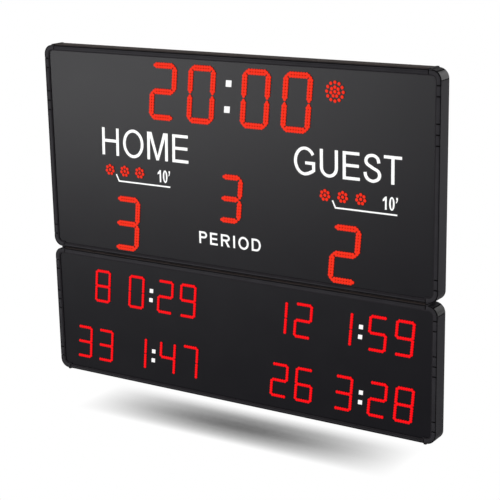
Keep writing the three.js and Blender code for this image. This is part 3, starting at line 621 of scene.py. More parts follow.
def rail_place(angle, x, z):
    """Turns a rail about Y and moves it to its outer face."""
    turn = Matrix.Rotation(math.radians(angle), 4, "Y")
    return Matrix.Translation((x, FRONT, z)) @ turn


def bore_for_cable(rail, z):
    """A round hole through a rail's wall, where the cable goes from case to case."""
    drill = start_cylinder("drill", 24, CABLE_HOLE, 4 * WALL)
    drill.data.transform(Matrix.Translation((CABLE_X, CABLE_Y, z)))
    apply_modifier(rail, "BOOLEAN", operation="DIFFERENCE", solver="EXACT", object=drill)
    discard(drill)


def add_rails(case, top, low):
    height = (top - low) / MM
    arms = 2 * (CORNER_ARM + SEAM)
    length = 2 * HALF_WIDTH / MM - arms
    for side, flange, angle, z in (("top", FLANGE, 0, top), ("bottom", BOTTOM_FLANGE, 180, low)):
        rail = make_rail("rail", length, length, flange, [], True)
        rail.data.transform(rail_place(angle, 0, z))
        name = f"{case}_{side}_rail"
        if name in ("main_bottom_rail", "penalty_top_rail"):
            bore_for_cable(rail, z)
        dress(named(rail, f"{name}_extrusion"), None, replaces=name)
    centre = (top + low) / 2
    wall_length = height - 2 * (CORNER_RADIUS + SEAM)
    face_top = height / 2 - SIDE_ARM - SEAM
    face_low = -height / 2 + LOW_SIDE_ARM + SEAM
    drops = [
        SIDE_ARM + COVER_LENGTH,
        SECOND_COVER_DROP,
        SECOND_COVER_DROP + COVER_LENGTH,
        SECOND_COVER_DROP + 2 * COVER_LENGTH,
        height - LOW_SIDE_ARM - COVER_LENGTH,
    ]
    places = [height / 2 - drop for drop in drops]
    middle = (face_top + face_low) / 2
    for side, angle, direction in (("left", -90, 1), ("right", 90, -1)):
        rail = make_side_rail(wall_length, face_top, face_low, middle, places, direction)
        x = HALF_WIDTH * (-1 if side == "left" else 1)
        rail.data.transform(rail_place(angle, x, centre))
        name = f"{case}_{side}_rail"
        dress(named(rail, f"{name}_extrusion"), None, replaces=name)


def make_side_rail(wall_length, face_top, face_low, middle, places, direction):
    """A side rail. Its face is a little off the middle of its wall, so the wall is made longer
    and trimmed at both ends."""
    face_length = face_top - face_low
    spare = 2 * abs(middle) + 2 * END_SPARE
    covers = [direction * (place - middle) for place in places]
    rail = make_rail("rail", wall_length + spare, face_length, FLANGE, covers, False)
    rail.data.transform(Matrix.Translation((direction * middle * MM, 0, 0)))
    edit(rail)
    for side in (-1, 1):
        trim((side * wall_length / 2 * MM, 0, 0), (side, 0, 0))
    leave()
    smooth(rail)
    return rail


for case in CASES:
    add_rails(*case)


def make_corner(name, side_arm, has_lit_gloss):
    """A top right corner about its arc's centre: the section is drawn flat, spun through a
    quarter turn, and its arms and rib are pulled out of its ends."""
    outer = CORNER_RADIUS
    deselect()
    bpy.ops.mesh.primitive_plane_add(size=1)
    corner = named(bpy.context.active_object, name)
    width = WALL
    depth = CASE_DEPTH - LINE_DEPTH
    corner.data.transform(
        Matrix.Translation(((outer - width / 2) * MM, (LINE_DEPTH + depth / 2) * MM, 0))
        @ Matrix.Diagonal((width * MM, depth * MM, 1, 1))
    )
    edit(corner, "EDGE")
    for y in (FLANGE_DEPTH, CASE_DEPTH - REAR_LIP):
        cut((0, y * MM, 0), (0, 1, 0))
    inner = outer - WALL
    select_edges(corner, lambda m, a: near(m.x, inner) and m.y / MM < FLANGE_DEPTH)
    extrude(x=WALL - FLANGE)
    select_edges(corner, lambda m, a: near(m.x, inner) and m.y / MM > CASE_DEPTH - REAR_LIP)
    extrude(x=WALL - REAR_REACH)
    for inward in (LINE_START, LINE_END):
        cut(((outer - inward) * MM, 0, 0), (1, 0, 0))
    select_edges(corner, lambda m, a: near(m.y, LINE_DEPTH) and abs(a.x) > 0.9 and (
        m.x / MM > outer - LINE_START or m.x / MM < outer - LINE_END
    ))
    extrude(y=-LINE_DEPTH)
    bpy.ops.mesh.select_mode(type="FACE")
    select_all()
    bpy.ops.mesh.spin(steps=24, angle=math.pi / 2, center=(0, 0, 0), axis=(0, 1, 0))
    weld(0.001)
    face_outwards()
    select_faces(corner, lambda c, n: n.z < -0.9 and near(c.z, 0) and c.y / MM < FLANGE_DEPTH)
    extrude(z=CORNER_RADIUS - side_arm)
    select_faces(corner, lambda c, n: n.x < -0.9 and near(c.x, 0))
    extrude(x=CORNER_RADIUS - CORNER_ARM)
    low_end = outer - side_arm
    left_end = outer - CORNER_ARM
    cut((0, 0, (low_end + JOINT) * MM), (0, 0, 1))
    cut(((left_end + JOINT) * MM, 0, 0), (1, 0, 0))
    select_edges(corner, lambda m, a: near(m.y, 0) and abs(a.y) < 0.1 and (
        near(m.z, low_end) or near(m.x, left_end)
    ))
    shift(y=JOINT_SINK)
    select_faces(corner, lambda c, n: n.z > 0.9 and near(c.z, outer) and c.x < -0.1 * MM)
    extrude(z=RIB_RISE - RIB_EDGE)
    extrude(z=RIB_EDGE)
    leave()
    apply_bevel(corner, EDGE)
    smooth(corner)

    def outside(centre, normal):
        reach = centre.xz.length / MM
        in_arc = centre.x > 0 and centre.z > 0
        return in_arc and reach > outer - 0.2 and abs(normal.y) < 0.5

    def turned(centre):
        return math.degrees(math.atan2(centre.x, centre.z))

    def in_lit_gloss(centre, normal):
        return outside(centre, normal) and turned(centre) > LIT_GLOSS_START

    # Black bands painted at both ends of the glossy part, as painted shade for its dark edges.
    def painted_edge_shade(centre, normal):
        at_start = LIT_GLOSS_START - PAINTED_EDGE_SPAN < turned(centre) < LIT_GLOSS_START
        return outside(centre, normal) and (at_start or turned(centre) > LIT_GLOSS_END)

    # The faces painted black as shade: the chamfers at the arms' ends, the top of the rib's front
    # and the line round the face.
    def recess_painted_shade(centre, normal):
        on_wall = max(centre.x, centre.z) / MM > outer - 0.2
        at_end = normal.y < -0.5 and centre.y / MM < 1 and (
            centre.x / MM < left_end + JOINT or centre.z / MM < low_end + JOINT
            or centre.z / MM > outer + RIB_RISE - RIB_EDGE
        )
        in_arc = centre.x > 0 and centre.z > 0
        reach = centre.xz.length if in_arc else max(centre.x, centre.z)
        in_line = within(centre.y, GROOVE_DEPTH + 0.05, LINE_DEPTH + 0.1) and not (
            on_wall or outside(centre, normal) or reach / MM < outer - FLANGE + 0.4
            or centre.x < 0
        )
        return at_end or in_line

    corner.data.materials.append(corner_coat)
    # The glossy copy of the coat goes only where the light falls, on the top corners.
    if has_lit_gloss:
        paint(corner, lit_corner_gloss, in_lit_gloss)
        paint(corner, joint_painted_shade, painted_edge_shade)
    paint(corner, joint_painted_shade, recess_painted_shade)
    return corner


def add_corners(case, top, low):
    centre_x = HALF_WIDTH - CORNER_RADIUS * MM
    ends = (
        ("top", top - CORNER_RADIUS * MM, 1, SIDE_ARM),
        ("bottom", low + CORNER_RADIUS * MM, -1, LOW_SIDE_ARM),
    )
    for end, z, up, arm in ends:
        # Only the top corners get the glossy copy of the coat, as painted light.
        model = make_corner("corner", arm, end == "top")
        for side, right in (("left", -1), ("right", 1)):
            place = Matrix.Translation((right * centre_x, FRONT, z))
            flip = Matrix.Diagonal((right, 1, up, 1))
            name = f"{case}_{end}_{side}_corner"
            corner = copy_of(model, f"{name}_casting", place @ flip)
            if right * up < 0:
                edit(corner)
                face_outwards()
                leave()
            dress(corner, None, replaces=name)
        discard(model)


for case in CASES:
    add_corners(*case)

# LED digits. Each segment is one or two rows of LEDs, and two rows end in a single LED.
SLANT = 0.0902
LED = 13.4
DIGIT_SEGMENTS = {
    "0": "abcdef", "1": "bc", "2": "abged", "3": "abgcd", "4": "fgbc",
    "5": "afgcd", "6": "afgedc", "7": "abc", "8": "abcdefg", "9": "abcdfg",
}
SEGMENT_PLACES = {
    "a": (0, 0.5), "g": (0, 0), "d": (0, -0.5),
    "b": (0.5, 0.25), "c": (0.5, -0.25), "f": (-0.5, 0.25), "e": (-0.5, -0.25),
}
LARGE = {
    "width": 105.1, "height": 207.2, "count": 7, "level": 11.72, "upright": 11.55,
    "rows": 11.2, "tip": 9.0, "led": LED,
}
MEDIUM = {
    "width": 87.9, "height": 173.6, "count": 5, "level": 12.24, "upright": 12.07,
    "rows": 9.7, "tip": 9.64, "led": LED,
}
SMALL = {
    "width": 68.7, "height": 132.2, "count": 6, "level": 10.5, "upright": 10.4,
    "rows": 0, "tip": 0, "led": 13.2,
}
DOME_HEIGHT = 2.2


def set_glow(lens, value_at):
    """Stores how bright each point of a lens is, by its rise from the panel in millimetres."""
    glow = lens.data.attributes.new("glow", "FLOAT", "POINT")
    for vertex in lens.data.vertices:
        glow.data[vertex.index].value = value_at(-vertex.co.y / MM)


def make_dome(diameter):
    """One LED's dome: half a sphere, pressed flat."""
    deselect()
    radius = diameter / 2 * MM
    bpy.ops.mesh.primitive_uv_sphere_add(
        segments=12, ring_count=6, radius=radius, rotation=(math.pi / 2, 0, 0),
    )
    dome = settled("dome")
    edit(dome)
    trim((0, 0, 0), (0, 1, 0))
    select_all()
    bpy.ops.transform.resize(value=(1, DOME_HEIGHT * MM / radius, 1))
    leave()
    set_glow(dome, lambda rise: min(1, rise / DOME_HEIGHT))
    for polygon in dome.data.polygons:
        polygon.use_smooth = True
    return dome


def cluster(name, dome, places):
    """Copies of a dome at places across the face, joined."""
    copies = [
        copy_of(dome, "led", Matrix.Translation((x * MM, 0, z * MM))) for x, z in places
    ]
    return joined(name, copies)


def segment_places(kind, pitch):
    """Where the LEDs of a level segment lie about its middle."""
    first = -(kind["count"] - 1) / 2 * pitch
    line = [first + i * pitch for i in range(kind["count"])]
    if not kind["rows"]:
        return [(x, 0) for x in line]
    half = kind["rows"] / 2
    tip = kind["tip"] - first
    return [(x, z) for z in (-half, half) for x in line] + [(-tip, 0), (tip, 0)]


def make_segments(kind):
    dome = make_dome(kind["led"])
    level = cluster("level", dome, segment_places(kind, kind["level"]))
    upright = cluster(
        "upright", dome, [(z, x) for x, z in segment_places(kind, kind["upright"])],
    )
    discard(dome)
    return level, upright


def make_digit(name, kind, segments, figure):
    """A digit about its middle, before it is slanted."""
    level, upright = segments
    parts = []
    for letter in DIGIT_SEGMENTS[figure]:
        x, z = SEGMENT_PLACES[letter]
        place = Matrix.Translation((x * kind["width"] * MM, 0, z * kind["height"] * MM))
        parts.append(copy_of(level if letter in "agd" else upright, "segment", place))
    return joined(name, parts)


def face_place(x, z, depth=PANEL_DEPTH):
    return Matrix.Translation((x * MM, FRONT + depth * MM, MAIN_TOP + z * MM))


SLANTED = Matrix(((1, 0, SLANT, 0), (0, 1, 0, 0), (0, 0, 1, 0), (0, 0, 0, 1)))
LED_SINK = 0.1  # the lenses' flat backs are this far inside the panel's face
LENS_RIM = 1.6  # how far a square lens stands out at its rim
LENS_RISE = 0.5


def add_digit(name, kind, segments, figure, x, z):
    digit = make_digit(name, kind, segments, figure)
    digit.data.transform(face_place(x, z, PANEL_DEPTH + LED_SINK) @ SLANTED)
    return digit


CLOCK_X = (-303.7, -121.3, 127.5, 309.8)
CLOCK_Z = -156.8
SCORE_X = {"home": -509.4, "guest": 512.1}
SCORE_Z = -717.5
PERIOD_PLACE = (3.1, -557.9)


def add_large_digits():
    segments = make_segments(LARGE)
    for i, (figure, x) in enumerate(zip("2000", CLOCK_X)):
        digit = add_digit(f"clock_digit_{i + 1}_leds", LARGE, segments, figure, x, CLOCK_Z)
        dress(digit, red_led)
    for (team, x), figure in zip(SCORE_X.items(), "32"):
        digit = add_digit(f"{team}_score_leds", LARGE, segments, figure, x, SCORE_Z)
        dress(digit, red_led)
    discard(*segments)
    segments = make_segments(MEDIUM)
    period = add_digit("period_leds", MEDIUM, segments, "3", *PERIOD_PLACE)
    dress(period, red_led)
    discard(*segments)


PENALTY_X = {
    "home": (-763.7, -651, -474.8, -327, -214.4), "guest": (216.5, 328.8, 504.8, 653, 765.3),
}
PENALTY_Z = (-1006.8, -1270)
PENALTY_FIGURES = {"home": (" 8029", "33147"), "guest": ("12159", "26328")}


def add_penalty_digits():
    segments = make_segments(SMALL)
    for team, rows in PENALTY_FIGURES.items():
        for row, figures in enumerate(rows):
            digits = [
                add_digit("digit", SMALL, segments, figure, x, PENALTY_Z[row])
                for figure, x in zip(figures, PENALTY_X[team]) if figure != " "
            ]
            name = f"{team}_penalty_row_{row + 1}_leds"
            dress(joined(name, digits), deep_red_led)
    discard(*segments)


def ring(count, radius):
    """Places evenly round a circle, the first at its top."""
    angles = [math.radians(90 + 360 * i / count) for i in range(count)]
    return [(radius * math.cos(angle), radius * math.sin(angle)) for angle in angles]


CLOCK_LAMP_PLACE = (473.5, -105)
LAMP_PLACES = {
    "home": ((-585, -497.3), (-509.8, -497.2), (-434, -496.8)),
    "guest": ((429.2, -497.2), (504.8, -496.5), (580.8, -496.5)),
}
INNER_RING = 17
OUTER_RING = 34.5


def add_lamps():
    """The round clusters: one by the clock, and three for each team."""
    dome = make_dome(LED)
    inner = ring(7, INNER_RING) + [(0, 0)]
    large = cluster("clock_lamp_leds", dome, ring(12, OUTER_RING) + inner)
    large.data.transform(face_place(*CLOCK_LAMP_PLACE, PANEL_DEPTH + LED_SINK))
    dress(large, red_led)
    small = cluster("lamp", dome, inner)
    for team, places in LAMP_PLACES.items():
        lamps = [
            copy_of(small, "lamp", face_place(x, z, PANEL_DEPTH + LED_SINK)) for x, z in places
        ]
        dress(joined(f"{team}_lamp_leds", lamps), red_led)
    discard(dome, small)


def make_square_lens(size):
    """A square lens with rounded edges, about its middle."""
    half = size / 2
    lens = start_block("lens", (-half, -LENS_RIM, -half), (half, LED_SINK, half))
    edit(lens)
    select_faces(lens, lambda c, n: n.y < -0.9)
    inset(1.2)
    shift(y=-LENS_RISE)
    leave()
    apply_bevel(lens, 0.4)
    set_glow(lens, lambda rise: 1 if rise > LENS_RIM + 0.1 else 0.2)
    return lens


CLOCK_COLON = ((7.5, -105), (-3.2, -206.2))
PENALTY_COLON_X = {"home": (-397.8, -402), "guest": (582, 578.2)}
PENALTY_COLON_RISE = (16, -24)


def add_colon(name, lens, places):
    lenses = [copy_of(lens, "lens", face_place(x, z) @ SLANTED) for x, z in places]
    dress(joined(name, lenses), white_led)


def add_colons():
    lens = make_square_lens(25.4)
    add_colon("clock_colon_lenses", lens, CLOCK_COLON)
    discard(lens)
    lens = make_square_lens(17)
    for team, places in PENALTY_COLON_X.items():
        for row, z in enumerate(PENALTY_Z):
            pair = [(x, z + rise) for x, rise in zip(places, PENALTY_COLON_RISE)]
            add_colon(f"{team}_penalty_colon_{row + 1}_lenses", lens, pair)
    discard(lens)


add_large_digits()
add_penalty_digits()
add_lamps()
add_colons()

# Printed marks. Each letter stands in its own box and is drawn with a pen whose upright strokes
# are a little wider than its level ones.
INK = 0.25  # thickness of the ink, drawn thicker than the real film


def arc(x, z, reach_x, reach_z, start, end, steps=16):
    """Points along part of an ellipse, by angle in degrees."""
    angles = [math.radians(start + (end - start) * i / steps) for i in range(steps + 1)]
    return [(x + reach_x * math.cos(a), z + reach_z * math.sin(a)) for a in angles]


def sides_of_stroke(points, upright, level):
    """The closed outline of a pen stroke through points, with mitred corners and square ends."""
    there, back = [], []
    for i, point in enumerate(points):
        here = Vector(point)
        before = here - Vector(points[i - 1]) if i else Vector(points[1]) - here
        after = Vector(points[i + 1]) - here if i + 1 < len(points) else before
        side = (before.normalized() + after.normalized()).orthogonal()
        side /= side.length_squared
        step = (side.x * upright, side.y * level)
        there.append((point[0] + step[0], point[1] + step[1]))
        back.append((point[0] - step[0], point[1] - step[1]))
    return there + back[::-1]


def rounded_path(points, steps=5):
    """A smooth path through points."""
    ends = [points[0]] + list(points) + [points[-1]]
    path = []
    for a, b, c, d in zip(ends, ends[1:], ends[2:], ends[3:]):
        for step in range(steps):
            t = step / steps
            path.append(tuple(
                b[k] + t / 2 * (c[k] - a[k])
                + t * t * (a[k] - 2.5 * b[k] + 2 * c[k] - 0.5 * d[k])
                + t ** 3 * (1.5 * (b[k] - c[k]) + 0.5 * (d[k] - a[k]))
                for k in (0, 1)
            ))
    return path + [points[-1]]


def bowl(left, middle, low, high, w, v, t):
    """The outer and inner outline of a bowl that closes on a stem, as in P and D."""
    centre = (low + high) / 2
    outer = arc(middle, centre, w - middle, (high - low) / 2, -90, 90)
    inner = arc(middle, centre, w - middle - v, (high - low) / 2 - t, -90, 90)
    return outer, [(left, low + t)] + inner + [(left, high - t)]


def outlines(letter, w, h, v, t):
    """The closed outlines of a letter or figure in a box w wide and h high, with upright strokes
    v wide and level strokes t high."""
    bar = 0.53 * h - t / 2
    if letter == "H":
        return [[
            (0, 0), (v, 0), (v, bar), (w - v, bar), (w - v, 0), (w, 0),
            (w, h), (w - v, h), (w - v, bar + t), (v, bar + t), (v, h), (0, h),
        ]]
    if letter == "E":
        bar = 0.51 * h - t / 2
        arm = 0.94 * w
        return [[
            (0, 0), (w, 0), (w, t), (v, t), (v, bar), (arm, bar), (arm, bar + t),
            (v, bar + t), (v, h - t), (0.97 * w, h - t), (0.97 * w, h), (0, h),
        ]]
    if letter == "M":
        shoulder = 0.215 * w
        foot = 0.06 * w
        half = [(w / 2, 0), (w / 2 + foot, 0), (w - v, 0.82 * h), (w - v, 0), (w, 0), (w, h),
                (w - shoulder, h), (w / 2, 0.17 * h)]
        return [half + [(w - x, z) for x, z in half[-2:0:-1]]]
    if letter == "T":
        stem = (w - v) / 2
        return [[
            (stem, 0), (stem + v, 0), (stem + v, h - t), (w, h - t), (w, h), (0, h),
            (0, h - t), (stem, h - t),
        ]]
    if letter == "I":
        return [[(0, 0), (w, 0), (w, h), (0, h)]]
    over = 0.02 * h  # round letters reach a little past the others
    if letter in "O0":
        centre = (w / 2, h / 2)
        return [
            arc(*centre, w / 2, h / 2 + over, 0, 350, 35),
            arc(*centre, w / 2 - v, h / 2 + over - t, 0, 350, 35),
        ]
    if letter == "U":
        turn = 0.36 * h
        path = arc(w / 2, turn, (w - v) / 2, turn - t / 2, 180, 360, 20)
        return [sides_of_stroke([(v / 2, h)] + path + [(w - v / 2, h)], v, t)]
    if letter == "S":
        path = rounded_path([(x * w, z * h) for x, z in (
            (0.86, 0.69), (0.8, 0.84), (0.64, 0.93), (0.45, 0.945), (0.25, 0.895), (0.15, 0.77),
            (0.21, 0.64), (0.52, 0.51), (0.81, 0.41), (0.905, 0.27), (0.83, 0.13), (0.65, 0.06),
            (0.48, 0.045), (0.27, 0.1), (0.14, 0.21), (0.1, 0.34),
        )])
        return [sides_of_stroke(path, v, t)]
    if letter == "G":
        reach = 0.52 * w
        outer = arc(reach, h / 2, reach, h / 2 + over, 32, 270, 26)
        inner = arc(reach, h / 2, reach - v, h / 2 + over - t, 270, 30, 26)
        bar = 0.385 * h
        return [outer + [
            (0.66 * w, 0), (0.78 * w, 0.04 * h), (0.9 * w, 0.095 * h), (w, 0.16 * h),
            (w, bar + t), (0.53 * w, bar + t), (0.53 * w, bar), (w - v, bar),
            (w - v, 0.21 * h), (0.76 * w, 0.055 * h + t), (0.65 * w, 0.01 * h + t),
        ] + inner]
    if letter == "1":
        return [[
            (w - v, 0), (w, 0), (w, h), (w - 0.8 * v, h), (0, 0.77 * h), (0, 0.62 * h),
            (w - v, 0.72 * h),
        ]]
    if letter == "'":
        return [[
            (0.2 * w, h), (w, h), (w, 0.62 * h), (0.7 * w, 0.25 * h), (0.1 * w, 0),
            (0.1 * w, 0.18 * h), (0.55 * w, 0.58 * h), (0.2 * w, 0.58 * h),
        ]]
    low = 0.0 if letter == "D" else 0.43 * h
    middle = 0.5 * w if letter == "D" else 0.58 * w
    outer, hole = bowl(v, middle, low, h, w, v, t)
    if letter == "D":
        return [[(0, 0)] + outer + [(0, h)], hole]
    foot = [(v, low)]
    if letter == "R":
        foot += [(0.45 * w, low), (w - 1.25 * v, 0), (w, 0)]
        outer[0] = (0.45 * w + 1.2 * v, low)
    return [[(0, 0), (v, 0)] + foot + outer + [(0, h)], hole]


def film_of(name, loops, thickness):
    """A flat film inside closed outlines, in the XY plane."""
    deselect()
    curve = bpy.data.curves.new(name, "CURVE")
    curve.dimensions = "2D"
    curve.fill_mode = "BOTH"
    curve.extrude = thickness / 2 * MM
    for loop in loops:
        spline = curve.splines.new("POLY")
        spline.points.add(len(loop) - 1)
        spline.use_cyclic_u = True
        for point, (x, z) in zip(spline.points, loop):
            point.co = (x * MM, z * MM, 0, 1)
    film = bpy.data.objects.new(name, curve)
    bpy.context.collection.objects.link(film)
    pick(film)
    bpy.ops.object.convert(target="MESH")
    film = named(bpy.context.active_object, name)
    edit(film)
    weld(0.005)
    face_outwards()
    leave()
    return film


def add_print(name, loops):
    """Lays a film of ink on the panel inside closed outlines, given across the face."""
    film = film_of(name, loops, INK)
    film.data.transform(
        face_place(0, 0, PANEL_DEPTH - INK / 2 + 0.05) @ Matrix.Rotation(math.pi / 2, 4, "X")
    )
    dress(film, white_ink)


def add_word(name, letters, low, high, upright, level, lean=0.0):
    """Prints letters, each between its left and right side, slanted a little by lean."""
    loops = []
    for letter, left, right in letters:
        for loop in outlines(letter, right - left, high - low, upright, level):
            loops.append([
                (left + x + lean * (z - (high - low) / 2), low + z) for x, z in loop
            ])
    add_print(name, loops)


add_word(
    "home_label",
    (("H", -621, -535.5), ("O", -514, -411), ("M", -392, -290.5), ("E", -268.5, -190.5)),
    -436.5, -323.5, 13.3, 12.2, 0.03,
)
add_word(
    "guest_label",
    (("G", 294.5, 386.5), ("U", 407, 484), ("E", 504, 576), ("S", 590, 664.5), ("T", 674.5, 748)),
    -428.5, -322.5, 13.2, 11.6,
)
for team, left in (("home", -555), ("guest", 460)):
    line = [(left, -514), (left + 13, -541), (left + 270.5, -541)]
    add_print(f"{team}_underline", [sides_of_stroke(line, 6, 6)])
for team, one, nought, mark in (
    ("home", (-345, -328.5), (-319.5, -297), (-292, -284)),
    ("guest", (671, 687), (697, 719.5), (724, 732.5)),
):
    add_word(f"{team}_ten_label", (("1", *one), ("0", *nought)), -525, -475.5, 7, 6)
    add_word(f"{team}_minute_label", (("'", *mark),), -498, -475.5, 0, 0)
add_word(
    "period_label",
    (("P", -150, -112), ("E", -98, -62), ("R", -46, -4), ("I", 12, 20.5), ("O", 36, 84),
     ("D", 98, 140)),
    -755, -705, 8.5, 8,
)

# Rear and inside pieces whose shape the CAD gives: their triangles are merged and their edges
# rounded.
MOVING = {
    "service_hatch": "hatch", "hatch_latch": "latch", "mains_switch_rocker": "rocker",
    "setup_button_1": "button_1", "setup_button_2": "button_2",
}


def finished(node, material, edge, segments=2):
    """A CAD node's shape with rounded edges, in the node's place."""
    name = f"{node}_finished"
    piece = bpy.data.objects.new(name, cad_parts[node].data.copy())
    piece.data.name = name
    bpy.context.collection.objects.link(piece)
    edit(piece)
    weld(0.01)
    bpy.ops.mesh.dissolve_limited(angle_limit=math.radians(1))
    leave()
    apply_bevel(piece, edge, segments)
    smooth(piece)
    keep_flat(piece)
    return dress(piece, material, MOVING.get(node, "board"), node)


# Material, slot, segments of the rounding and its width for each node
for material, slot, segments, edges in (
    (cover_coat, "cover_black", 2, {
        "main_rear_cover": 0.5, "penalty_rear_cover": 0.3, "service_hatch": 0.3,
    }),
    (zinc_steel, "zinc_steel", 2, {
        "wall_rail": 0.6, "left_upright": 0.5, "right_upright": 0.5, "service_tray": 0.4,
        "hatch_hinge_pin": 0.3, "main_cross_bar_upper": 0.5, "main_cross_bar_middle": 0.5,
        "main_cross_bar_lower": 0.5, "penalty_cross_bar_upper": 0.5,
        "penalty_cross_bar_lower": 0.5, "hatch_latch": 0.4,
    }),
    (seal_rubber, "seal_rubber", 4, {"left_buffer": 1.6, "right_buffer": 1.6}),
    (seal_rubber, "seal_rubber", 3, {"mains_grommet": 0.6}),
    (black_abs, "plastic_black", 3, {"mains_switch_body": 0.7}),
    (red_abs, "plastic_red", 3, {"mains_switch_rocker": 0.5}),
    (red_abs, "plastic_red", 4, {"setup_button_1": 0.8, "setup_button_2": 0.8}),
    (rolled_aluminium, "sheet_aluminium", 3, {"power_supply": 0.8}),
    (black_abs, "plastic_black", 3, {"horn": 1.5}),
):
    for node, edge in edges.items():
        finished(node, material, edge, segments)

# Screws and bolts, made along Z and turned to face the rear or the front. Each has the radius
# and the height of its head.
TO_REAR = Matrix.Rotation(-math.pi / 2, 4, "X")
TO_FRONT = Matrix.Rotation(math.pi / 2, 4, "X")
COVER_SCREW = (4.2, 2.4)
WALL_SCREW = (9, 5)
BOARD_SCREW = (2.9, 1.8)
BOLT = (6.5, 3.5)
WASHER = 1.2
COVER_SCREW_INSET = 13 * MM
BOARD_SCREW_INSET = 8 * MM
WALL_SCREW_X = (-500, -200, 200, 500)
WALL_SCREW_Z = -20
BOLT_Z = (-0.13, -0.62, PENALTY_TOP - 0.1, PENALTY_LOW + 0.19)
WALL_WEB = 3 * MM
UPRIGHT_WEB = 2 * MM


def make_screw(radius, height):
    """A domed screw head with a cross recess, its seat at Z 0."""
    screw = start_cylinder("screw", 20, radius, height / 2, height / 4)
    edit(screw)
    select_faces(screw, lambda c, n: n.z > 0.9)
    for scale, rise in ((0.93, 0.25), (0.86, 0.17), (0.76, 0.08)):
        extrude(z=rise * height)
        bpy.ops.transform.resize(value=(scale, scale, 1))
    half = 0.11 * radius
    reach = 0.45 * radius
    for place in (-reach, -half, half, reach):
        cut((place * MM, 0, 0), (1, 0, 0))
        cut((0, place * MM, 0), (0, 1, 0))

    def in_cross(centre, normal):
        near, far = sorted((abs(centre.x / MM), abs(centre.y / MM)))
        return normal.z > 0.9 and near < half and far < reach

    select_faces(screw, in_cross)
    extrude(z=-0.35 * height)
    leave()
    smooth(screw)
    return screw


def make_bolt(radius, height):
    """A hexagon head on its washer, its seat at Z 0."""
    washer = start_cylinder("washer", 32, 1.35 * radius, WASHER, WASHER / 2)
    apply_bevel(washer, 0.2)
    head = start_cylinder("head", 6, radius, height, WASHER + height / 2)
    edit(head)
    select_faces(head, lambda c, n: n.z > 0.9)
    inset(0.16 * radius)
    shift(z=0.3)
    leave()
    apply_bevel(head, 0.25)
    bolt = joined("bolt", [head, washer])
    smooth(bolt)
    return bolt


def fasten(name, make, size, places, y, turn=TO_REAR):
    """Sets copies of a fastener with their seats at a depth, at places given in metres."""
    model = make(*size)
    heads = [copy_of(model, "head", Matrix.Translation((x, y, z)) @ turn) for x, z in places]
    discard(model)
    dress(joined(name, heads), zinc_steel)


def round_the_rim(top, low, inset, columns, rows):
    """Places round a cover, even along its long and its short edges, in metres."""
    edge = HALF_WIDTH - inset
    across = [-edge + 2 * edge * (i + 0.5) / columns for i in range(columns)]
    upward = [low + (top - low) * (i + 0.5) / rows for i in range(rows)]
    level = [(x, z) for x in across for z in (low + inset, top - inset)]
    return level + [(x, z) for x in (-edge, edge) for z in upward]


def add_fasteners():
    cover_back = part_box("main_rear_cover")[1].y
    for (case, top, low), rows in zip(CASES, (3, 2)):
        places = round_the_rim(top, low, COVER_SCREW_INSET, 6, rows)
        fasten(f"{case}_cover_screws", make_screw, COVER_SCREW, places, cover_back)
    places = [(x * MM, WALL_SCREW_Z * MM) for x in WALL_SCREW_X]
    web_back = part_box("wall_rail")[1].y - WALL_WEB
    fasten("wall_rail_screws", make_screw, WALL_SCREW, places, web_back, TO_FRONT)
    for side in ("left", "right"):
        low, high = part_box(f"{side}_upright")
        places = [((low.x + high.x) / 2, z) for z in BOLT_Z]
        fasten(f"{side}_upright_bolts", make_bolt, BOLT, places, low.y + UPRIGHT_WEB)
    low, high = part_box("control_board")
    places = [
        (x, z) for x in (low.x + BOARD_SCREW_INSET, high.x - BOARD_SCREW_INSET)
        for z in (low.z + BOARD_SCREW_INSET, high.z - BOARD_SCREW_INSET)
    ]
    fasten("control_board_screws", make_screw, BOARD_SCREW, places, CONTROL_BACK)


# Control board, seen when the hatch is open. Places are from its middle.
BOARD_THICKNESS = 1.6 * MM
CONTROL_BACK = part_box("control_board")[0].y + BOARD_THICKNESS
CONTROL_MIDDLE = (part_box("control_board")[0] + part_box("control_board")[1]) / 2
RADIO = (30, 22, 44, 30, 5)
PROCESSOR = (-20, 20, 26, 26, 3)
CONNECTORS = ((14, -36, 34, 14, 9), (62, -36, 34, 14, 9))
HOUSINGS = ((-56, -30, 14, 14, 6), (-30, -30, 14, 14, 6))


def on_part(centre, part):
    """Tests whether a face belongs to a part that stands on the control board."""
    x, z, width, height, _ = part
    return (
        abs((centre.x - CONTROL_MIDDLE.x) / MM - x) < width / 2 + 0.1
        and abs((centre.z - CONTROL_MIDDLE.z) / MM - z) < height / 2 + 0.1
        and centre.y > CONTROL_BACK + 0.05 * MM
    )


def control_place(x, z, depth=0.0):
    return Matrix.Translation((
        CONTROL_MIDDLE.x + x * MM, CONTROL_BACK + depth * MM, CONTROL_MIDDLE.z + z * MM,
    ))


def add_control_board():
    board = finished("control_board", green_board, 0.25)
    edit(board)
    for part in CONNECTORS:
        top = CONTROL_BACK + part[4] * MM
        select_faces(board, lambda c, n: (
            n.y > 0.9 and abs(c.y - top) < 0.1 * MM and on_part(c, part)
        ))
        inset(1.2)
        extrude(y=-6)
    leave()
    for material, parts in (
        (tinned_steel, (RADIO,)), (chip_epoxy, (PROCESSOR,)), (ivory_nylon, CONNECTORS),
        (black_abs, HOUSINGS),
    ):
        paint(board, material, lambda c, n: any(on_part(c, part) for part in parts))


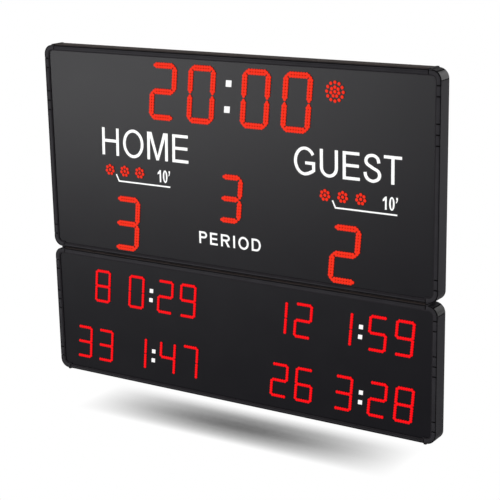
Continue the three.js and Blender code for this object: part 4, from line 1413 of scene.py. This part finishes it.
def add_small_parts():
    """Legs of the processor, pins of the connectors, capacitors and chip resistors."""
    leg = start_block("leg", (-0.35, 0, 0), (0.35, 0.9, 1.6))
    edit(leg)
    select_faces(leg, lambda c, n: n.z > 0.9)
    shift(y=-0.3)
    leave()
    apply_bevel(leg, 0.1)
    x, z, width, _, _ = PROCESSOR
    legs = []
    for quarter in range(4):
        turn = Matrix.Rotation(quarter * math.pi / 2, 4, "Y")
        for i in range(11):
            out = Matrix.Translation(((i - 5) * 2 * MM, 0.02 * MM, width / 2 * MM))
            legs.append(copy_of(leg, "leg", control_place(x, z) @ turn @ out))
    discard(leg)
    dress(joined("processor_legs", legs), tinned_steel)
    pin = start_block("pin", (-0.5, 2.9, -0.5), (0.5, 8, 0.5))
    apply_bevel(pin, 0.2)
    pins = [
        copy_of(pin, "pin", control_place(part[0] + (i - 2) * 5.5, part[1]))
        for part in CONNECTORS for i in range(5)
    ]
    discard(pin)
    dress(joined("connector_pins", pins), tinned_steel)
    can = start_cylinder("can", 24, 4, 9, 4.5)
    can.data.transform(TO_REAR)
    edit(can)
    select_faces(can, lambda c, n: n.y > 0.9)
    inset(0.6)
    extrude(y=-0.4)
    leave()
    apply_bevel(can, 0.3)
    smooth(can)
    cans = [copy_of(can, "can", control_place(x, z, 0.02)) for x, z in ((-62, 8), (-62, 20))]
    discard(can)
    dress(joined("capacitors", cans), rolled_aluminium)
    chip = start_block("chip", (-1.6, 0.02, -0.8), (1.6, 0.9, 0.8))
    apply_bevel(chip, 0.2)
    chips = [
        copy_of(chip, "chip", control_place(x, z)) for x in (-46, -2) for z in (-6, -2, 2)
    ]
    discard(chip)
    dress(joined("chip_resistors", chips), chip_epoxy)


ROCKER_TILT = math.radians(9)
PIVOT_DEPTH = 1 * MM     # from the switch body's rear
ROCKER_MIDDLE = 4        # from the pivot to the middle of the rocker's face
ROCKER_HALF = 10.4
ROCKER_RISE = 1.5        # of its ends over the middle
MARK_PLACE = 5.6


def add_rocker_marks():
    """The usual bar and ring for on and off, printed on the rocker's two faces."""
    low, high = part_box("mains_switch_body")
    pivot = Matrix.Translation((
        (low.x + high.x) / 2, high.y - PIVOT_DEPTH, (low.z + high.z) / 2,
    ))
    slope = ROCKER_RISE / ROCKER_HALF
    depth = (ROCKER_MIDDLE + slope * MARK_PLACE) * MM
    for name, up, loops in (
        ("on_mark", 1, [[(-0.5, -2), (0.5, -2), (0.5, 2), (-0.5, 2)]]),
        ("off_mark", -1, [arc(0, 0, 2, 2, 0, 345, 23), arc(0, 0, 1.2, 1.2, 0, 345, 23)]),
    ):
        mark = film_of(name, loops, 0.1)
        face = Matrix.Translation((0, depth, up * MARK_PLACE * MM))
        turn = Matrix.Rotation(math.pi / 2 - up * math.atan(slope), 4, "X")
        tilt = Matrix.Rotation(-ROCKER_TILT, 4, "X")
        mark.data.transform(pivot @ tilt @ face @ turn)
        dress(mark, white_ink, "rocker")


add_fasteners()
add_control_board()
add_small_parts()
add_rocker_marks()

# CAD nodes that keep their shape
KEPT = {
    panel_smoke: ("main_front_panel", "penalty_front_panel"),
    seal_rubber: ("main_panel_seal", "penalty_panel_seal"),
    black_abs: ("link_cable",),
    green_board: (
        "clock_digit_1", "clock_digit_2", "clock_digit_3", "clock_digit_4", "clock_colon",
        "clock_lamp", "period_digit", "home_score_digit", "guest_score_digit", "home_lamps",
        "guest_lamps", "home_penalty_row_1", "home_penalty_row_2", "guest_penalty_row_1",
        "guest_penalty_row_2",
    ),
}
for material, names in KEPT.items():
    for name in names:
        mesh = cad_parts[name].data
        mesh.materials.clear()
        mesh.materials.append(material)

# Stage, lamps and world
FLOOR_DROP = 0.125   # the board hangs this far above the floor
SHADOW_REACH = 0.3   # how far the board's shadow spreads on the floor
SHADOW_LENGTH = 0.75  # half its length
SHADOW_WIDTH = 0.175  # half its width
SHADOW_MIDDLE = -0.03
SHADOW_START = 0.84   # with this much open sky the shadow is full
SHADOW_END = 0.97     # and with this much there is none
SHADOW_TONE = 0.15    # the shadow at its darkest


def seen_directly(owner):
    """1 for what the camera sees, itself or in a mirror or through a clear piece, and 0 for the
    light that falls on things."""
    path = add_node(owner, "LightPath")
    seen = path.outputs["Is Camera Ray"]
    for ray in ("Is Glossy Ray", "Is Transmission Ray"):
        seen = add_node(
            owner, "Math", {"operation": "MAXIMUM"}, links={0: seen, 1: path.outputs[ray]},
        ).outputs[0]
    return seen


def add_floor():
    """White paper. The camera sees it white, with the soft shadow of what hangs close above."""
    deselect()
    bpy.ops.mesh.primitive_plane_add(size=60, location=(0, 0, PENALTY_LOW - FLOOR_DROP))
    floor = named(bpy.context.active_object, "floor")
    material = new_material("white_paper")
    shader = shader_of(material, {
        "Base Color": (0.8, 0.8, 0.8, 1), "Roughness": 0.9, "Specular IOR Level": 0.1,
    })
    open_sky = add_node(
        material, "AmbientOcclusion", {"samples": 16}, {"Distance": SHADOW_REACH},
    )
    shadow = add_node(
        material, "MapRange",
        sockets={"From Min": SHADOW_START, "From Max": SHADOW_END, "To Min": 1, "To Max": 0},
        links={"Value": open_sky.outputs["AO"]},
    )
    place = add_node(material, "TexCoord").outputs["Object"]
    centred = add_node(
        material, "Mapping", sockets={"Location": (0, -SHADOW_MIDDLE, 0)},
        links={"Vector": place},
    )
    axes = add_node(material, "SeparateXYZ", links={"Vector": centred.outputs["Vector"]})
    depth = shadow.outputs["Result"]
    for axis, reach in (("X", SHADOW_LENGTH), ("Y", SHADOW_WIDTH)):
        away = axes.outputs[axis]
        square = add_node(
            material, "Math", {"operation": "MULTIPLY"}, links={0: away, 1: away},
        )
        fade = add_node(
            material, "MapRange", sockets={"From Max": reach ** 2, "To Min": 1, "To Max": 0},
            links={"Value": square.outputs[0]},
        )
        depth = add_node(
            material, "Math", {"operation": "MULTIPLY"},
            links={0: depth, 1: fade.outputs["Result"]},
        ).outputs[0]
    light = add_node(
        material, "MapRange", sockets={"To Min": 1, "To Max": SHADOW_TONE},
        links={"Value": depth},
    )
    white = add_node(material, "Emission", links={"Strength": light.outputs["Result"]})
    mix = add_node(
        material, "MixShader",
        links={0: seen_directly(material), 1: shader.outputs[0], 2: white.outputs[0]},
    )
    link(material, mix.outputs[0], material.node_tree.nodes["Material Output"], "Surface")
    floor.data.materials.append(material)


def add_lamp(name, place, target, size, power, color=(1, 1, 1), diffuse=True):
    data = bpy.data.lights.new(name, "AREA")
    data.shape = "RECTANGLE"
    data.size, data.size_y = size
    data.energy = power
    data.color = color
    lamp = bpy.data.objects.new(name, data)
    lamp.location = place
    lamp.rotation_euler = (Vector(target) - Vector(place)).to_track_quat("-Z", "Y").to_euler()
    lamp.visible_camera = False
    lamp.visible_diffuse = diffuse
    bpy.context.collection.objects.link(lamp)


def set_world():
    """White where the camera sees it, and an even pale light for everything else."""
    world = bpy.data.worlds.new("studio")
    world.use_nodes = True
    bpy.context.scene.world = world
    background = world.node_tree.nodes["Background"]
    background.inputs["Color"].default_value = (1, 1, 1, 1)
    spread = add_node(
        world, "MapRange", sockets={"To Min": 0.5, "To Max": 1},
        links={"Value": seen_directly(world)},
    )
    link(world, spread.outputs["Result"], background, "Strength")


add_floor()
add_lamp("key", (-3.2, -4.8, -0.58), (0, 0, -0.4), (4.3, 1.3), 205)
add_lamp("sheen", (-3.2, -4.85, -0.58), (0, 0, -0.4), (4.3, 1.3), 190, diffuse=False)
add_lamp("fill", (3.6, -2.2, -0.5), (0.9, 0, -0.8), (1.5, 1.5), 34)
add_lamp("rear", (1.8, 3.0, 0.075), (1.8, 0, 0.075), (1.6, 2.85), 27)
add_lamp("overhead", (0.3, 0.0, 3.0), (0, 0, -1.5), (2.5, 1.5), 8, (1, 0.86, 0.78))
set_world()
bpy.context.scene.view_settings.view_transform = "Standard"
